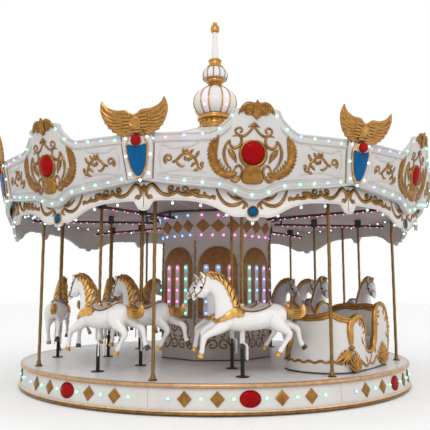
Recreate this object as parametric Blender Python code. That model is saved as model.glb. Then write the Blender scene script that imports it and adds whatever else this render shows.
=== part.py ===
"""Fairground carousel: fourteen galloping horses and a chariot turn on a platform under a carved canopy."""

from math import asin, atan, cos, pi, radians, sin

import bmesh
import bpy
from mathutils import Matrix, Vector

# Driving dimensions, in metres
DECK_RADIUS = 3.0
DECK_TOP = 0.36
CEILING_HEIGHT = 2.60
CORNICE_HEIGHT = 3.14
SECTORS = 8
GAP = 0.0003
OVERCUT = 0.1
SINK = 0.01
RIM_SEGMENTS = 48

# Seating: a pair of horses stands in each sector but one, which holds the chariot
OUTER_ROW = 2.49
INNER_ROW = 1.71
CHARIOT_SECTOR = 1
GALLOP = 0.12

# Chariot, as distances out from the carousel's axis and ahead of the sector's middle line
CHARIOT_OUTER = 2.70
CHARIOT_INNER = 1.80
CHARIOT_MIDDLE = (CHARIOT_OUTER + CHARIOT_INNER) / 2
CHARIOT_HALF_WIDTH = (CHARIOT_OUTER - CHARIOT_INNER) / 2
CHARIOT_CENTRE = 0.17
CHARIOT_HALF_LENGTH = 0.70
CHARIOT_WALL = 0.05
CHARIOT_FLOOR = 0.06
CHARIOT_SKIRT = 0.22
CHARIOT_WAIST = 0.50
BENCH_CLEARANCE = 0.01
BENCH_FRONT = 0.02
BENCH_BACK = 0.33
BENCH_HEIGHT = 0.78

# Ground frame and turntable
GROUND_FRAME_HEIGHT = 0.16
GROUND_FRAME_RADIUS = 2.90
GROUND_RIM_WIDTH = 0.14
GROUND_BEAM_WIDTH = 0.10
GROUND_BEAM_SINK = 0.01
HUB_RADIUS = 0.45
BEARING_RADIUS = 0.43
DECK_THICKNESS = 0.04
JOIST_DEPTH = 0.08
JOIST_WIDTH = 0.10
JOIST_CLEARANCE = 0.02
FASCIA_FOOT = 0.02
FASCIA_TOP_RADIUS = 2.97
FASCIA_THICKNESS = 0.035

# Rods and posts of the horses
SLEEVE_HEIGHT = 0.335
SLEEVE_RADIUS = 0.025
SLEEVE_BORE = 0.0165
SLEEVE_BORE_FOOT = 0.03
SLEEVE_FLANGE_RADIUS = 0.085
SLEEVE_FLANGE_THICKNESS = 0.012
ROD_RADIUS = SLEEVE_BORE - 0.0005
ROD_FOOT = 0.18
POLE_RADIUS = 0.021
POLE_SPARE = 0.04
POLE_JOINT = 0.68
GUIDE_HOLE_RADIUS = 0.031
ROUND_SIDES = 8
ROD_SIDES = 6

# Canopy
CANOPY_POLE_RADIUS = 0.0225
CANOPY_POLE_ROW = 2.82
CEILING_RADIUS = 3.10
CEILING_THICKNESS = 0.03
CEILING_INNER = 0.5
RIM_INNER = 3.06
SHAFT_HEIGHT = 2.50
SHAFT_WIDTH = 0.035
SHAFT_END = 2.95
SHAFT_START = 1.02
HANGER_WIDTH = 0.024
HANGER_LENGTH = 0.03
GUIDE_BLOCK_WIDTH = 0.084
COLLAR_RADIUS = 1.10
COLLAR_WIDTH = 0.06
COLLAR_DEPTH = 0.03
BOARD_LEAN = 0.219
BOARD_RADIUS = 3.371
BOARD_LEVEL = 2.907
BOARD_THICKNESS = 0.05
VALANCE_RADIUS = 3.16
VALANCE_THICKNESS = 0.03
MEDALLION_RADIUS = 0.18
MEDALLION_RELIEF = 0.035
MEDALLION_SHIFT = -0.026
CREST_LEVEL = 3.34
CREST_RELIEF = 0.03
PLATE_GAP = 0.0005
PLATE_THICKNESS = 0.02
PLATE_FOOT = 2.64
PLATE_TOP = 3.15
SHIELD_RELIEF = 0.055
WING_FOOT = 3.112
WING_BACK = 0.012
WING_BACK_LEAN = 0.14
WING_FACE = 0.052
WING_FACE_LEAN = 0.10
BALL_LEVEL = 3.058
BALL_RADIUS = 0.062
BALL_RELIEF = 0.068
ROOF_THICKNESS = 0.03
ROOF_EDGE_HEIGHT = 3.00
ROOF_TOP_RADIUS = 0.45
ROOF_TOP_HEIGHT = 4.05
ONION_FOOT = 4.36
LANTERN_FOOT = 4.88
SPIRE_FOOT = 5.36
SPIRE_TOP = 6.055

# Core
CORE_INRADIUS = 0.84
CORE_TURN = radians(-4.5)
FRIEZE_FOOT = 2.21
FRIEZE_FLARE = 0.06
FRIEZE_BAND = 0.06
FRIEZE_WALL = 0.04
CORE_WALL = 0.03
ARCH_HALF_WIDTH = 0.292
ARCH_FOOT = 0.98
ARCH_SPRING = 1.77
ARCH_TOP = 2.06
ARCH_RELIEF = 0.015
ARCH_STEPS = 10

SECTOR = 2 * pi / SECTORS


def clear_scene():
    for item in list(bpy.data.objects):
        bpy.data.objects.remove(item)


def material(name, colour, roughness, metallic=0.0):
    made = bpy.data.materials.new(name)
    made.use_nodes = True
    shader = made.node_tree.nodes["Principled BSDF"]
    shader.inputs["Base Color"].default_value = (*colour, 1.0)
    shader.inputs["Roughness"].default_value = roughness
    shader.inputs["Metallic"].default_value = metallic
    return made


def polar(azimuth, radius, height):
    """Point at an angle from the front (-Y), turning towards +X."""
    return Vector((radius * sin(azimuth), -radius * cos(azimuth), height))


def to_mesh(name, shape):
    """Closed mesh with its faces pointing out."""
    bmesh.ops.remove_doubles(shape, verts=shape.verts, dist=0.00001)
    bmesh.ops.recalc_face_normals(shape, faces=shape.faces)
    mesh = bpy.data.meshes.new(name)
    shape.to_mesh(mesh)
    shape.free()
    mesh.shade_smooth()
    mesh.set_sharp_from_angle(angle=radians(35))
    return mesh


def place(name, mesh, finish, location=(0, 0, 0), turn=0.0):
    item = bpy.data.objects.new(name, mesh)
    item.location = location
    item.rotation_euler.z = turn
    if not mesh.materials:
        mesh.materials.append(finish)
    bpy.context.collection.objects.link(item)
    return item


def lathe(profile, segments=RIM_SEGMENTS, closed=True):
    """Turned solid from (radius, height) points; an open profile starts and ends on the axis."""
    shape = bmesh.new()
    points = [shape.verts.new((radius, 0, height)) for radius, height in profile]
    pairs = list(zip(points, points[1:]))
    if closed:
        pairs.append((points[-1], points[0]))
    edges = [shape.edges.new(pair) for pair in pairs]
    bmesh.ops.spin(shape, geom=points + edges, cent=(0, 0, 0), axis=(0, 0, 1),
                   angle=2 * pi, steps=segments, use_merge=True)
    return to_mesh("turned", shape)


def loft(rings, closed=False):
    """Solid through rings of equally many points, capped at both ends unless it closes on itself."""
    shape = bmesh.new()
    rows = [[shape.verts.new(point) for point in ring] for ring in rings]
    count = len(rows[0])
    pairs = list(zip(rows, rows[1:]))
    if closed:
        pairs.append((rows[-1], rows[0]))
    else:
        shape.faces.new(rows[0][::-1])
        shape.faces.new(rows[-1])
    for low, high in pairs:
        for i in range(count):
            j = (i + 1) % count
            shape.faces.new((low[i], low[j], high[j], high[i]))
    return to_mesh("lofted", shape)


def prism(outline, first, last):
    """Outline of (x, y, z) points, extruded from one offset to another."""
    return loft([[Vector(first) + Vector(point) for point in outline],
                 [Vector(last) + Vector(point) for point in outline]])


def box(low, high):
    corners = [(low[0], low[1], 0), (high[0], low[1], 0), (high[0], high[1], 0), (low[0], high[1], 0)]
    return prism(corners, (0, 0, low[2]), (0, 0, high[2]))


def round_bar(centre, radius, low, high, sides=ROUND_SIDES):
    corners = [(radius * cos(i * 2 * pi / sides), radius * sin(i * 2 * pi / sides), 0) for i in range(sides)]
    return prism(corners, (centre[0], centre[1], low), (centre[0], centre[1], high))


def moved(mesh, matrix):
    mesh.transform(matrix)
    return mesh


def combine(solids, operation="UNION"):
    """Boolean of the first mesh with each of the others, as one new mesh."""
    base = bpy.data.objects.new("base", solids[0])
    bpy.context.collection.objects.link(base)
    tools = []
    for mesh in solids[1:]:
        tool = bpy.data.objects.new("tool", mesh)
        bpy.context.collection.objects.link(tool)
        change = base.modifiers.new("join", "BOOLEAN")
        change.operation = operation
        change.solver = "EXACT"
        change.object = tool
        tools.append(tool)
    bpy.context.view_layer.update()
    graph = bpy.context.evaluated_depsgraph_get()
    result = bpy.data.meshes.new_from_object(base.evaluated_get(graph), depsgraph=graph)
    for item in [base, *tools]:
        bpy.data.objects.remove(item)
    result.shade_smooth()
    result.set_sharp_from_angle(angle=radians(35))
    return result


def merge_apart(solids):
    """One mesh of several solids that stay clear of each other, for a cutter."""
    shape = bmesh.new()
    for mesh in solids:
        shape.from_mesh(mesh)
    mesh = bpy.data.meshes.new("cutters")
    shape.to_mesh(mesh)
    shape.free()
    return mesh


def horse_sectors():
    return [k for k in range(SECTORS) if k != CHARIOT_SECTOR]


def horse_places():
    """Name, azimuth and radius of each horse's pole."""
    places = []
    for k in horse_sectors():
        places.append((f"horse_outer_{k + 1}", k * SECTOR, OUTER_ROW))
        places.append((f"horse_inner_{k + 1}", k * SECTOR, INNER_ROW))
    return places


def pole_stand(azimuth, radius):
    """Matrix that sets a piece on a horse's pole axis and turns it with its sector."""
    return Matrix.Translation(polar(azimuth, radius, 0)) @ Matrix.Rotation(azimuth, 4, "Z")


def pole_holes(hole_radius, low, high):
    """Cutters for the holes that the poles or the sleeve posts pass through."""
    return merge_apart([moved(round_bar((0, 0), hole_radius, low, high, ROD_SIDES), pole_stand(azimuth, radius))
                        for _, azimuth, radius in horse_places()])


def ground_frame():
    rim_inner = GROUND_FRAME_RADIUS - GROUND_RIM_WIDTH
    rim = lathe([(rim_inner, 0), (GROUND_FRAME_RADIUS, 0), (GROUND_FRAME_RADIUS, GROUND_FRAME_HEIGHT / 2),
                 (rim_inner, GROUND_FRAME_HEIGHT / 2)], 24)
    hub = round_bar((0, 0), HUB_RADIUS, 0, GROUND_FRAME_HEIGHT, 16)
    reach = rim_inner + GROUND_RIM_WIDTH / 2
    half = GROUND_BEAM_WIDTH / 2
    beams = []
    for k, sink in enumerate((GROUND_BEAM_SINK, 1.5 * GROUND_BEAM_SINK)):
        beam = box((-reach, -half, sink), (reach, half, GROUND_FRAME_HEIGHT / 2 - sink))
        beams.append(moved(beam, Matrix.Rotation(k * pi / 2, 4, "Z")))
    return combine([rim, hub, *beams])


def sleeve_post(foot):
    """Post with a flange on the deck and a blind bore for a horse's rod."""
    flange_top = DECK_TOP + SLEEVE_FLANGE_THICKNESS
    top = DECK_TOP + SLEEVE_HEIGHT
    bore_foot = DECK_TOP + SLEEVE_BORE_FOOT
    return lathe([(0, foot), (SLEEVE_RADIUS, foot), (SLEEVE_RADIUS, DECK_TOP + GAP),
                  (SLEEVE_FLANGE_RADIUS, DECK_TOP + GAP), (SLEEVE_FLANGE_RADIUS, flange_top),
                  (SLEEVE_RADIUS, flange_top), (SLEEVE_RADIUS, top), (SLEEVE_BORE, top),
                  (SLEEVE_BORE, bore_foot), (0, bore_foot)], ROD_SIDES, closed=False)


def turntable_frame():
    """Hub on the ground frame's bearing, a joist under each row of seats, and the sleeve posts."""
    top = DECK_TOP - DECK_THICKNESS - GAP
    parts = [round_bar((0, 0), BEARING_RADIUS, GROUND_FRAME_HEIGHT + GAP, top, 16)]
    reach = FASCIA_TOP_RADIUS - FASCIA_THICKNESS - JOIST_CLEARANCE
    for k in range(SECTORS):
        joist = box((-JOIST_WIDTH / 2, -reach, top - JOIST_DEPTH),
                    (JOIST_WIDTH / 2, -HUB_RADIUS / 2, top - SINK / 5))
        parts.append(moved(joist, Matrix.Rotation(k * SECTOR, 4, "Z")))
    for _, azimuth, radius in horse_places():
        parts.append(moved(sleeve_post(top - JOIST_DEPTH / 2), pole_stand(azimuth, radius)))
    return combine(parts)


def deck_floor():
    low = DECK_TOP - DECK_THICKNESS
    radius = FASCIA_TOP_RADIUS - FASCIA_THICKNESS - GAP
    floor = lathe([(0, low), (radius, low), (radius, DECK_TOP), (0, DECK_TOP)], closed=False)
    return combine([floor, pole_holes(SLEEVE_RADIUS + 0.002, low - 0.05, DECK_TOP + 0.05)], "DIFFERENCE")


def deck_fascia():
    """Leaning apron with a rolled band at its top and a double band at its foot."""
    inner = FASCIA_TOP_RADIUS - FASCIA_THICKNESS
    return lathe([(inner, DECK_TOP), (inner, FASCIA_FOOT), (DECK_RADIUS, FASCIA_FOOT), (DECK_RADIUS, 0.065),
                  (DECK_RADIUS - 0.014, 0.075), (FASCIA_TOP_RADIUS - 0.006, 0.315),
                  (FASCIA_TOP_RADIUS + 0.006, 0.325), (FASCIA_TOP_RADIUS + 0.006, DECK_TOP - 0.006),
                  (FASCIA_TOP_RADIUS, DECK_TOP)])


def canopy_pole():
    top = CEILING_HEIGHT - GAP
    foot = DECK_TOP + GAP
    profile = [(0, foot), (0.053, foot), (0.053, foot + 0.012), (0.030, foot + 0.035),
               (CANOPY_POLE_RADIUS, foot + 0.05), (CANOPY_POLE_RADIUS, top), (0, top)]
    return lathe(profile, ROD_SIDES, closed=False)


def octagon(inradius, height):
    radius = inradius / cos(pi / SECTORS)
    return [polar(CORE_TURN + (i + 0.5) * SECTOR, radius, height) for i in range(SECTORS)]


def arch_outline():
    """Side view of an arched panel: (across, height) points."""
    points = [(-ARCH_HALF_WIDTH, ARCH_FOOT), (ARCH_HALF_WIDTH, ARCH_FOOT)]
    for i in range(ARCH_STEPS + 1):
        angle = pi * i / ARCH_STEPS
        points.append((ARCH_HALF_WIDTH * cos(angle), ARCH_SPRING + (ARCH_TOP - ARCH_SPRING) * sin(angle)))
    return points


def core_drum():
    """Eight-sided hollow drum, open underneath, with a raised arched panel on each side."""
    foot = DECK_TOP + GAP
    inside = CORE_INRADIUS - CORE_WALL
    wall = loft([octagon(CORE_INRADIUS, foot), octagon(CORE_INRADIUS, FRIEZE_FOOT - GAP)])
    hollow = loft([octagon(inside, foot - OVERCUT), octagon(inside, FRIEZE_FOOT + OVERCUT)])
    arches = []
    for k in range(SECTORS):
        arch = prism([(x, 0, z) for x, z in arch_outline()], (0, -(CORE_INRADIUS + ARCH_RELIEF), 0),
                     (0, -(CORE_INRADIUS - CORE_WALL / 2), 0))
        arches.append(moved(arch, Matrix.Rotation(CORE_TURN + k * SECTOR, 4, "Z")))
    return combine([combine([wall, hollow], "DIFFERENCE")] + arches)


def core_frieze():
    top = CEILING_HEIGHT - GAP
    outside = loft([octagon(CORE_INRADIUS + 0.005, FRIEZE_FOOT),
                    octagon(CORE_INRADIUS + FRIEZE_FLARE, top - FRIEZE_BAND),
                    octagon(CORE_INRADIUS + FRIEZE_FLARE, top)])
    inside = CORE_INRADIUS - FRIEZE_WALL
    hollow = loft([octagon(inside, FRIEZE_FOOT - OVERCUT), octagon(inside, top + OVERCUT)])
    return combine([outside, hollow], "DIFFERENCE")


def ceiling():
    low = CEILING_HEIGHT
    high = CEILING_HEIGHT + CEILING_THICKNESS
    plate = lathe([(CEILING_INNER, low), (CEILING_RADIUS, low), (CEILING_RADIUS, high),
                   (CEILING_INNER, high)], 32)
    return combine([plate, pole_holes(GUIDE_HOLE_RADIUS, low - OVERCUT, high + OVERCUT)], "DIFFERENCE")


def crank_shafts():
    """Radial shafts under the ceiling with a guide block at each horse's pole, joined by a collar at the core."""
    top = CEILING_HEIGHT - GAP
    low = SHAFT_HEIGHT - SHAFT_WIDTH / 2
    collar_outer = COLLAR_RADIUS + COLLAR_WIDTH
    collar_foot = top - COLLAR_DEPTH
    parts = [lathe([(COLLAR_RADIUS, collar_foot), (collar_outer, collar_foot), (collar_outer, top),
                    (COLLAR_RADIUS, top)], SECTORS)]
    hanger_row = COLLAR_RADIUS + COLLAR_WIDTH / 2
    for k in range(SECTORS):
        bar = box((-SHAFT_WIDTH / 2, -SHAFT_END, low), (SHAFT_WIDTH / 2, -SHAFT_START, low + SHAFT_WIDTH))
        hanger = box((-HANGER_WIDTH / 2, -hanger_row - HANGER_LENGTH / 2, low + SINK),
                     (HANGER_WIDTH / 2, -hanger_row + HANGER_LENGTH / 2, top - SINK))
        parts += [moved(piece, Matrix.Rotation(k * SECTOR, 4, "Z")) for piece in (bar, hanger)]
    half = GUIDE_BLOCK_WIDTH / 2
    for _, azimuth, radius in horse_places():
        block = box((-half, -radius - half, low - SINK), (half, -radius + half, top - SINK / 5))
        parts.append(moved(block, Matrix.Rotation(azimuth, 4, "Z")))
    bores = pole_holes(GUIDE_HOLE_RADIUS, low - OVERCUT, top + OVERCUT)
    return combine([combine(parts), bores], "DIFFERENCE")


def board_face(height):
    """Radius of the leaning outer face of the rounding boards."""
    return BOARD_RADIUS + BOARD_LEAN * (height - BOARD_LEVEL)


def canopy_rim():
    """Ring beam that carries the boards, the valance and the roof."""
    low = CEILING_HEIGHT + CEILING_THICKNESS + GAP
    high = ROOF_EDGE_HEIGHT - GAP
    back = BOARD_THICKNESS + GAP
    return lathe([(RIM_INNER, low), (board_face(low) - back, low), (board_face(high) - back, high),
                  (RIM_INNER, high)])


def board_columns():
    """Angle in degrees, top and bottom of one half of a rounding board, from its centre to its end."""
    return [(0, 3.392, 2.405), (1.6, 3.394, 2.412), (3.5, 3.392, 2.458), (4.5, 3.374, 2.490),
            (4.8, 3.315, 2.498), (5.6, 3.262, 2.513), (6.7, 3.204, 2.525), (7.5, 3.170, 2.531),
            (8.7, CORNICE_HEIGHT, 2.537), (11.5, CORNICE_HEIGHT, 2.551), (15, CORNICE_HEIGHT, 2.570),
            (18.5, CORNICE_HEIGHT, 2.598), (22.44, CORNICE_HEIGHT, 2.640)]


def leaning(mesh, height):
    """Moves a relief, made upright about its own centre, onto the boards' leaning face."""
    lean = Matrix.Rotation(atan(BOARD_LEAN), 4, "X")
    return moved(mesh, Matrix.Translation((0, -board_face(height), height)) @ lean)


def medallion():
    """Round boss at a board's centre."""
    outline = [(MEDALLION_SHIFT + MEDALLION_RADIUS * cos(i * pi / 8), 0, MEDALLION_RADIUS * sin(i * pi / 8))
               for i in range(16)]
    return leaning(prism(outline, (0, BOARD_THICKNESS / 2, 0), (0, -MEDALLION_RELIEF, 0)), BOARD_LEVEL)


def board_crest():
    """Small carved finial that stands up from a board's shoulders."""
    outline = mirrored([(0, -0.07), (0.06, -0.033), (0.135, -0.005), (0.165, 0.03), (0.205, -0.02), (0.195, 0.04),
                        (0.155, 0.095), (0.09, 0.12), (0, 0.142)])
    return leaning(prism([(x, 0, z) for x, z in outline], (0, BOARD_THICKNESS / 2, 0), (0, -CREST_RELIEF, 0)),
                   CREST_LEVEL)


def rounding_board():
    half = board_columns()
    columns = [(-angle, top, bottom) for angle, top, bottom in reversed(half[1:])] + half
    rings = []
    for angle, top, bottom in columns:
        azimuth = radians(angle)
        rings.append([polar(azimuth, board_face(bottom), bottom), polar(azimuth, board_face(top), top),
                      polar(azimuth, board_face(top) - BOARD_THICKNESS, top),
                      polar(azimuth, board_face(bottom) - BOARD_THICKNESS, bottom)])
    return combine([loft(rings), medallion(), board_crest()])


def valance_columns():
    """Angle in degrees and lower edge of one half of a valance panel, from its gem to its corner tip."""
    return [(0, 2.173), (0.9, 2.186), (1.35, 2.222), (3.2, 2.217), (4.4, 2.232), (6.0, 2.278), (7.7, 2.327),
            (10, 2.372), (13, 2.404), (19.5, 2.418), (20.6, 2.400), (21.5, 2.322), (22.5, 2.305)]


def valance():
    """Wavy skirt under the boards, running all round, with a gem at each panel's centre."""
    half = valance_columns()
    sector = half + [(45 - angle, edge) for angle, edge in reversed(half[1:-1])]
    top = CEILING_HEIGHT + CEILING_THICKNESS
    rings = []
    for k in range(SECTORS):
        for angle, edge in sector:
            azimuth = k * SECTOR + radians(angle)
            rings.append([polar(azimuth, VALANCE_RADIUS + VALANCE_THICKNESS, edge),
                          polar(azimuth, VALANCE_RADIUS + VALANCE_THICKNESS, top),
                          polar(azimuth, VALANCE_RADIUS, top), polar(azimuth, VALANCE_RADIUS, edge)])
    return loft(rings, closed=True)


def pilaster():
    """Tapering plate over the joint between two boards."""
    columns = [(-3.1, 3.02), (-2.9, 2.86), (-2.46, PLATE_FOOT), (0, PLATE_FOOT), (2.46, PLATE_FOOT),
               (2.9, 2.86), (3.1, 3.02)]
    rings = []
    for angle, low in columns:
        corners = [(low, 0), (low, PLATE_THICKNESS), (PLATE_TOP, PLATE_THICKNESS), (PLATE_TOP, 0)]
        rings.append([polar(radians(angle), board_face(level) + PLATE_GAP + depth, level)
                      for level, depth in corners])
    return loft(rings)


def leaning_relief(outline, near, far):
    """Closed (x, z) outline on the boards' leaning face, between two depths in front of it."""
    return loft([[Vector((x, -(board_face(z) + depth), z)) for x, z in outline] for depth in (near, far)])


def mirrored(half):
    """Closed outline from the right-hand half, whose first and last points are on the middle line."""
    return half + [(-x, z) for x, z in reversed(half[1:-1])]


def wings():
    """Spread wings that lean out over the cornice a little more than the boards do, thinner at their tips."""
    outline = mirrored([(0, WING_FOOT), (0.18, 3.126), (0.30, 3.190), (0.345, 3.232), (0.385, 3.290), (0.408, 3.36),
                        (0.410, 3.42), (0.398, 3.48), (0.368, 3.53), (0.335, 3.466), (0.28, 3.422), (0.20, 3.394),
                        (0.10, 3.390), (0.055, 3.355), (0, 3.338)])
    rings = []
    for depth, lean in ((WING_BACK, WING_BACK_LEAN), (WING_FACE, WING_FACE_LEAN)):
        rings.append([Vector((x, -(board_face(z) + depth + lean * (z - WING_FOOT)), z)) for x, z in outline])
    return loft(rings)


def shield():
    """Blue shield on its pilaster, with a red ball above it and spread wings on top."""
    escutcheon = mirrored([(0, 3.10), (0.096, 3.10), (0.102, 3.055), (0.132, 3.01), (0.127, 2.91), (0.100, 2.774),
                           (0.050, 2.675), (0, 2.646)])
    ball = bmesh.new()
    centre = (0, -(board_face(BALL_LEVEL) + BALL_RELIEF), BALL_LEVEL)
    bmesh.ops.create_icosphere(ball, subdivisions=1, radius=BALL_RADIUS, matrix=Matrix.Translation(centre))
    return combine([pilaster(), leaning_relief(escutcheon, PLATE_THICKNESS / 2, SHIELD_RELIEF),
                    to_mesh("ball", ball), wings()])


def roof():
    """Conical shell resting on the rim."""
    edge = board_face(ROOF_EDGE_HEIGHT) - BOARD_THICKNESS - 0.01
    return lathe([(edge, ROOF_EDGE_HEIGHT), (ROOF_TOP_RADIUS, ROOF_TOP_HEIGHT),
                  (0.12, ROOF_TOP_HEIGHT), (0.12, ROOF_TOP_HEIGHT - ROOF_THICKNESS),
                  (ROOF_TOP_RADIUS, ROOF_TOP_HEIGHT - ROOF_THICKNESS), (edge - 0.12, ROOF_EDGE_HEIGHT)], 32)


def dome_base():
    foot = ROOF_TOP_HEIGHT + GAP
    return lathe([(0, foot), (0.305, foot), (0.312, 4.09), (0.305, 4.145), (0.272, 4.17), (0.262, 4.245),
                  (0.295, 4.275), (0.295, 4.335), (0.270, ONION_FOOT), (0, ONION_FOOT)], 24, closed=False)


def bulb(centre, half_height, radius, low, high, rings):
    """Part of an ellipse between two heights, as (radius, height) points."""
    start, end = asin((low - centre) / half_height), asin((high - centre) / half_height)
    points = []
    for i in range(rings + 1):
        angle = start + (end - start) * i / rings
        points.append((radius * cos(angle), centre + half_height * sin(angle)))
    return points


def dome_onion():
    """Big ribbed bulb with a short neck."""
    return lathe([(0, ONION_FOOT + GAP)] + bulb(4.575, 0.303, 0.380, ONION_FOOT + GAP, 4.855, 9) +
                 [(0.112, LANTERN_FOOT), (0, LANTERN_FOOT)], 24, closed=False)


def dome_lantern():
    """Neck, gold cup, small bulb and the collar that carries the spire."""
    return lathe([(0, LANTERN_FOOT + GAP), (0.118, LANTERN_FOOT + GAP), (0.104, 4.915), (0.13, 4.945),
                  (0.15, 4.96), (0.15, 5.0)] + bulb(5.065, 0.175, 0.222, 5.015, 5.20, 5) +
                 [(0.138, 5.215), (0.136, 5.24), (0.108, 5.28), (0.098, SPIRE_FOOT), (0, SPIRE_FOOT)],
                 18, closed=False)


def spire():
    """Slender cone with a ball and a knob."""
    return lathe([(0, SPIRE_FOOT + GAP), (0.068, SPIRE_FOOT + GAP), (0.041, 5.858)] +
                 bulb(5.93, 0.08, 0.08, 5.87, 5.99, 4) +
                 [(0.043, 6.005), (0.043, 6.03), (0.02, 6.05), (0, SPIRE_TOP)], 14, closed=False)


def horse_sections():
    """Top point, bottom point and half width of each section, ahead of the pole and above the deck."""
    return [((-0.545, 0.79), (-0.54, 0.69), 0.05), ((-0.48, 0.865), (-0.50, 0.60), 0.12),
            ((-0.34, 0.885), (-0.36, 0.575), 0.14), ((-0.18, 0.825), (-0.18, 0.55), 0.13),
            ((-0.02, 0.82), (0.0, 0.55), 0.13), ((0.05, 0.88), (0.16, 0.56), 0.13),
            ((0.08, 0.96), (0.29, 0.61), 0.12), ((0.11, 1.04), (0.34, 0.76), 0.10),
            ((0.18, 1.15), (0.345, 0.92), 0.08), ((0.29, 1.24), (0.38, 0.99), 0.065),
            ((0.40, 1.262), (0.43, 0.965), 0.065), ((0.50, 1.19), (0.485, 0.94), 0.055),
            ((0.565, 1.085), (0.545, 0.93), 0.04), ((0.61, 0.995), (0.59, 0.915), 0.035)]


def horse_section(top, bottom, half_width, sides=8):
    """Oval ring through a top and a bottom point of the side view."""
    top, bottom = Vector((top[0], 0, top[1])), Vector((bottom[0], 0, bottom[1]))
    middle, reach = (top + bottom) / 2, (top - bottom) / 2
    ring = []
    for i in range(sides):
        angle = i * 2 * pi / sides
        ring.append(middle + reach * cos(angle) + Vector((0, half_width * sin(angle), 0)))
    return ring


def limb(path, sides=4):
    """Tapering limb through (x, y, z, radius) points."""
    rings = []
    for i, (x, y, z, radius) in enumerate(path):
        before, after = Vector(path[max(i - 1, 0)][:3]), Vector(path[min(i + 1, len(path) - 1)][:3])
        along = (after - before).normalized()
        side = Vector((0, 1, 0))
        up = along.cross(side).normalized()
        turns = [j * 2 * pi / sides for j in range(sides)]
        rings.append([Vector((x, y, z)) + radius * (up * cos(turn) + side * sin(turn)) for turn in turns])
    return loft(rings)


def horse_limbs():
    """Four legs, the tail and the two ears."""
    return [[(0.20, 0.07, 0.66, 0.08), (0.34, 0.07, 0.56, 0.05), (0.468, 0.07, 0.49, 0.037),
             (0.50, 0.07, 0.36, 0.027), (0.515, 0.07, 0.245, 0.034)],
            [(0.22, -0.07, 0.68, 0.08), (0.36, -0.07, 0.605, 0.05), (0.468, -0.07, 0.53, 0.036),
             (0.485, -0.07, 0.405, 0.026), (0.487, -0.07, 0.27, 0.034)],
            [(-0.38, 0.075, 0.70, 0.10), (-0.48, 0.075, 0.59, 0.06), (-0.57, 0.075, 0.515, 0.036),
             (-0.49, 0.075, 0.38, 0.027), (-0.425, 0.075, 0.262, 0.036)],
            [(-0.42, -0.075, 0.72, 0.10), (-0.57, -0.075, 0.64, 0.055), (-0.70, -0.075, 0.58, 0.036),
             (-0.738, -0.075, 0.45, 0.027), (-0.80, -0.075, 0.32, 0.036)],
            [(-0.48, 0, 0.82, 0.03), (-0.58, 0, 0.80, 0.045), (-0.70, 0, 0.75, 0.06), (-0.79, 0, 0.78, 0.045),
             (-0.80, 0, 0.84, 0.02)],
            [(0.455, 0.035, 1.17, 0.02), (0.485, 0.04, 1.215, 0.018), (0.512, 0.042, 1.262, 0.003)],
            [(0.455, -0.035, 1.17, 0.02), (0.485, -0.04, 1.215, 0.018), (0.512, -0.042, 1.262, 0.003)]]


def footrests():
    """Hooked bar under the belly on each side of the pole."""
    bar = 0.011
    return [limb([(0.005, across, 0.60, bar), (0.005, across, 0.41, bar), (-0.02, across, 0.388, bar),
                  (-0.05, across, 0.37, bar), (-0.055, across, 0.203, bar)]) for across in (0.047, -0.047)]


def horse():
    """Galloping horse heading along +X with its pole on the Z axis, above the deck."""
    body = loft([horse_section(*section) for section in horse_sections()])
    rod = round_bar((0, 0), ROD_RADIUS, ROD_FOOT, POLE_JOINT + SINK, ROD_SIDES)
    pole_top = CEILING_HEIGHT - DECK_TOP + CEILING_THICKNESS + GALLOP + POLE_SPARE
    pole = round_bar((0, 0), POLE_RADIUS, POLE_JOINT - SINK, pole_top, ROD_SIDES)
    return combine([body] + [limb(path) for path in horse_limbs()] + footrests() + [rod, pole])


def chariot_side(radius):
    """Stations of one side from back to front: plan points at foot, waist and top, then the top's height."""
    profile = [(-0.40, -0.53, -0.50, 1.13), (-0.34, -0.44, -0.44, 1.18), (-0.28, -0.35, -0.35, 1.203),
               (-0.20, -0.24, -0.24, 1.20), (-0.125, -0.135, -0.135, 1.16), (-0.078, -0.078, -0.078, 1.05),
               (-0.058, -0.058, -0.058, 0.84), (-0.02, -0.02, -0.02, 0.67), (0.09, 0.09, 0.09, 0.59),
               (0.20, 0.20, 0.20, 0.61), (0.265, 0.265, 0.265, 0.70), (0.29, 0.29, 0.29, 0.87),
               (0.37, 0.37, 0.37, 1.01)]
    return [((radius, foot), (radius, waist), (radius, top), height) for foot, waist, top, height in profile]


def chariot_dash():
    """Stations of the curved front, from the outer side round to the inner side."""
    outer = CHARIOT_OUTER
    inner = CHARIOT_INNER
    return [((outer, 0.54), (outer, 0.54), (outer, 0.50), 1.068),
            ((2.68, 0.66), (2.685, 0.66), (2.68, 0.60), 1.03),
            ((2.64, 0.76), (2.65, 0.73), (2.63, 0.69), 1.04),
            ((2.57, 0.87), (2.58, 0.83), (2.57, 0.79), 1.065),
            ((2.48, 0.94), (2.50, 0.885), (2.50, 0.86), 1.11),
            ((2.38, 0.97), (2.38, 0.91), (2.38, 0.885), 1.08),
            ((2.24, 0.99), (2.24, 0.92), (2.24, 0.87), 1.06),
            ((2.10, 0.985), (2.10, 0.89), (2.10, 0.825), 1.06),
            ((1.97, 0.94), (1.96, 0.81), (1.96, 0.75), 1.057),
            ((1.86, 0.87), (1.86, 0.71), (1.86, 0.63), 1.045),
            ((inner, 0.78), (inner, 0.62), (inner, 0.53), 1.035)]


def chariot_back():
    """Stations across the back, from the inner side to the outer side."""
    stations = []
    for radius, height in ((1.95, 1.165), (2.10, 1.185), (2.25, 1.175), (2.40, 1.185), (2.55, 1.165)):
        stations.append(((radius, -0.41), (radius, -0.54), (radius, -0.48), height))
    return stations


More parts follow.
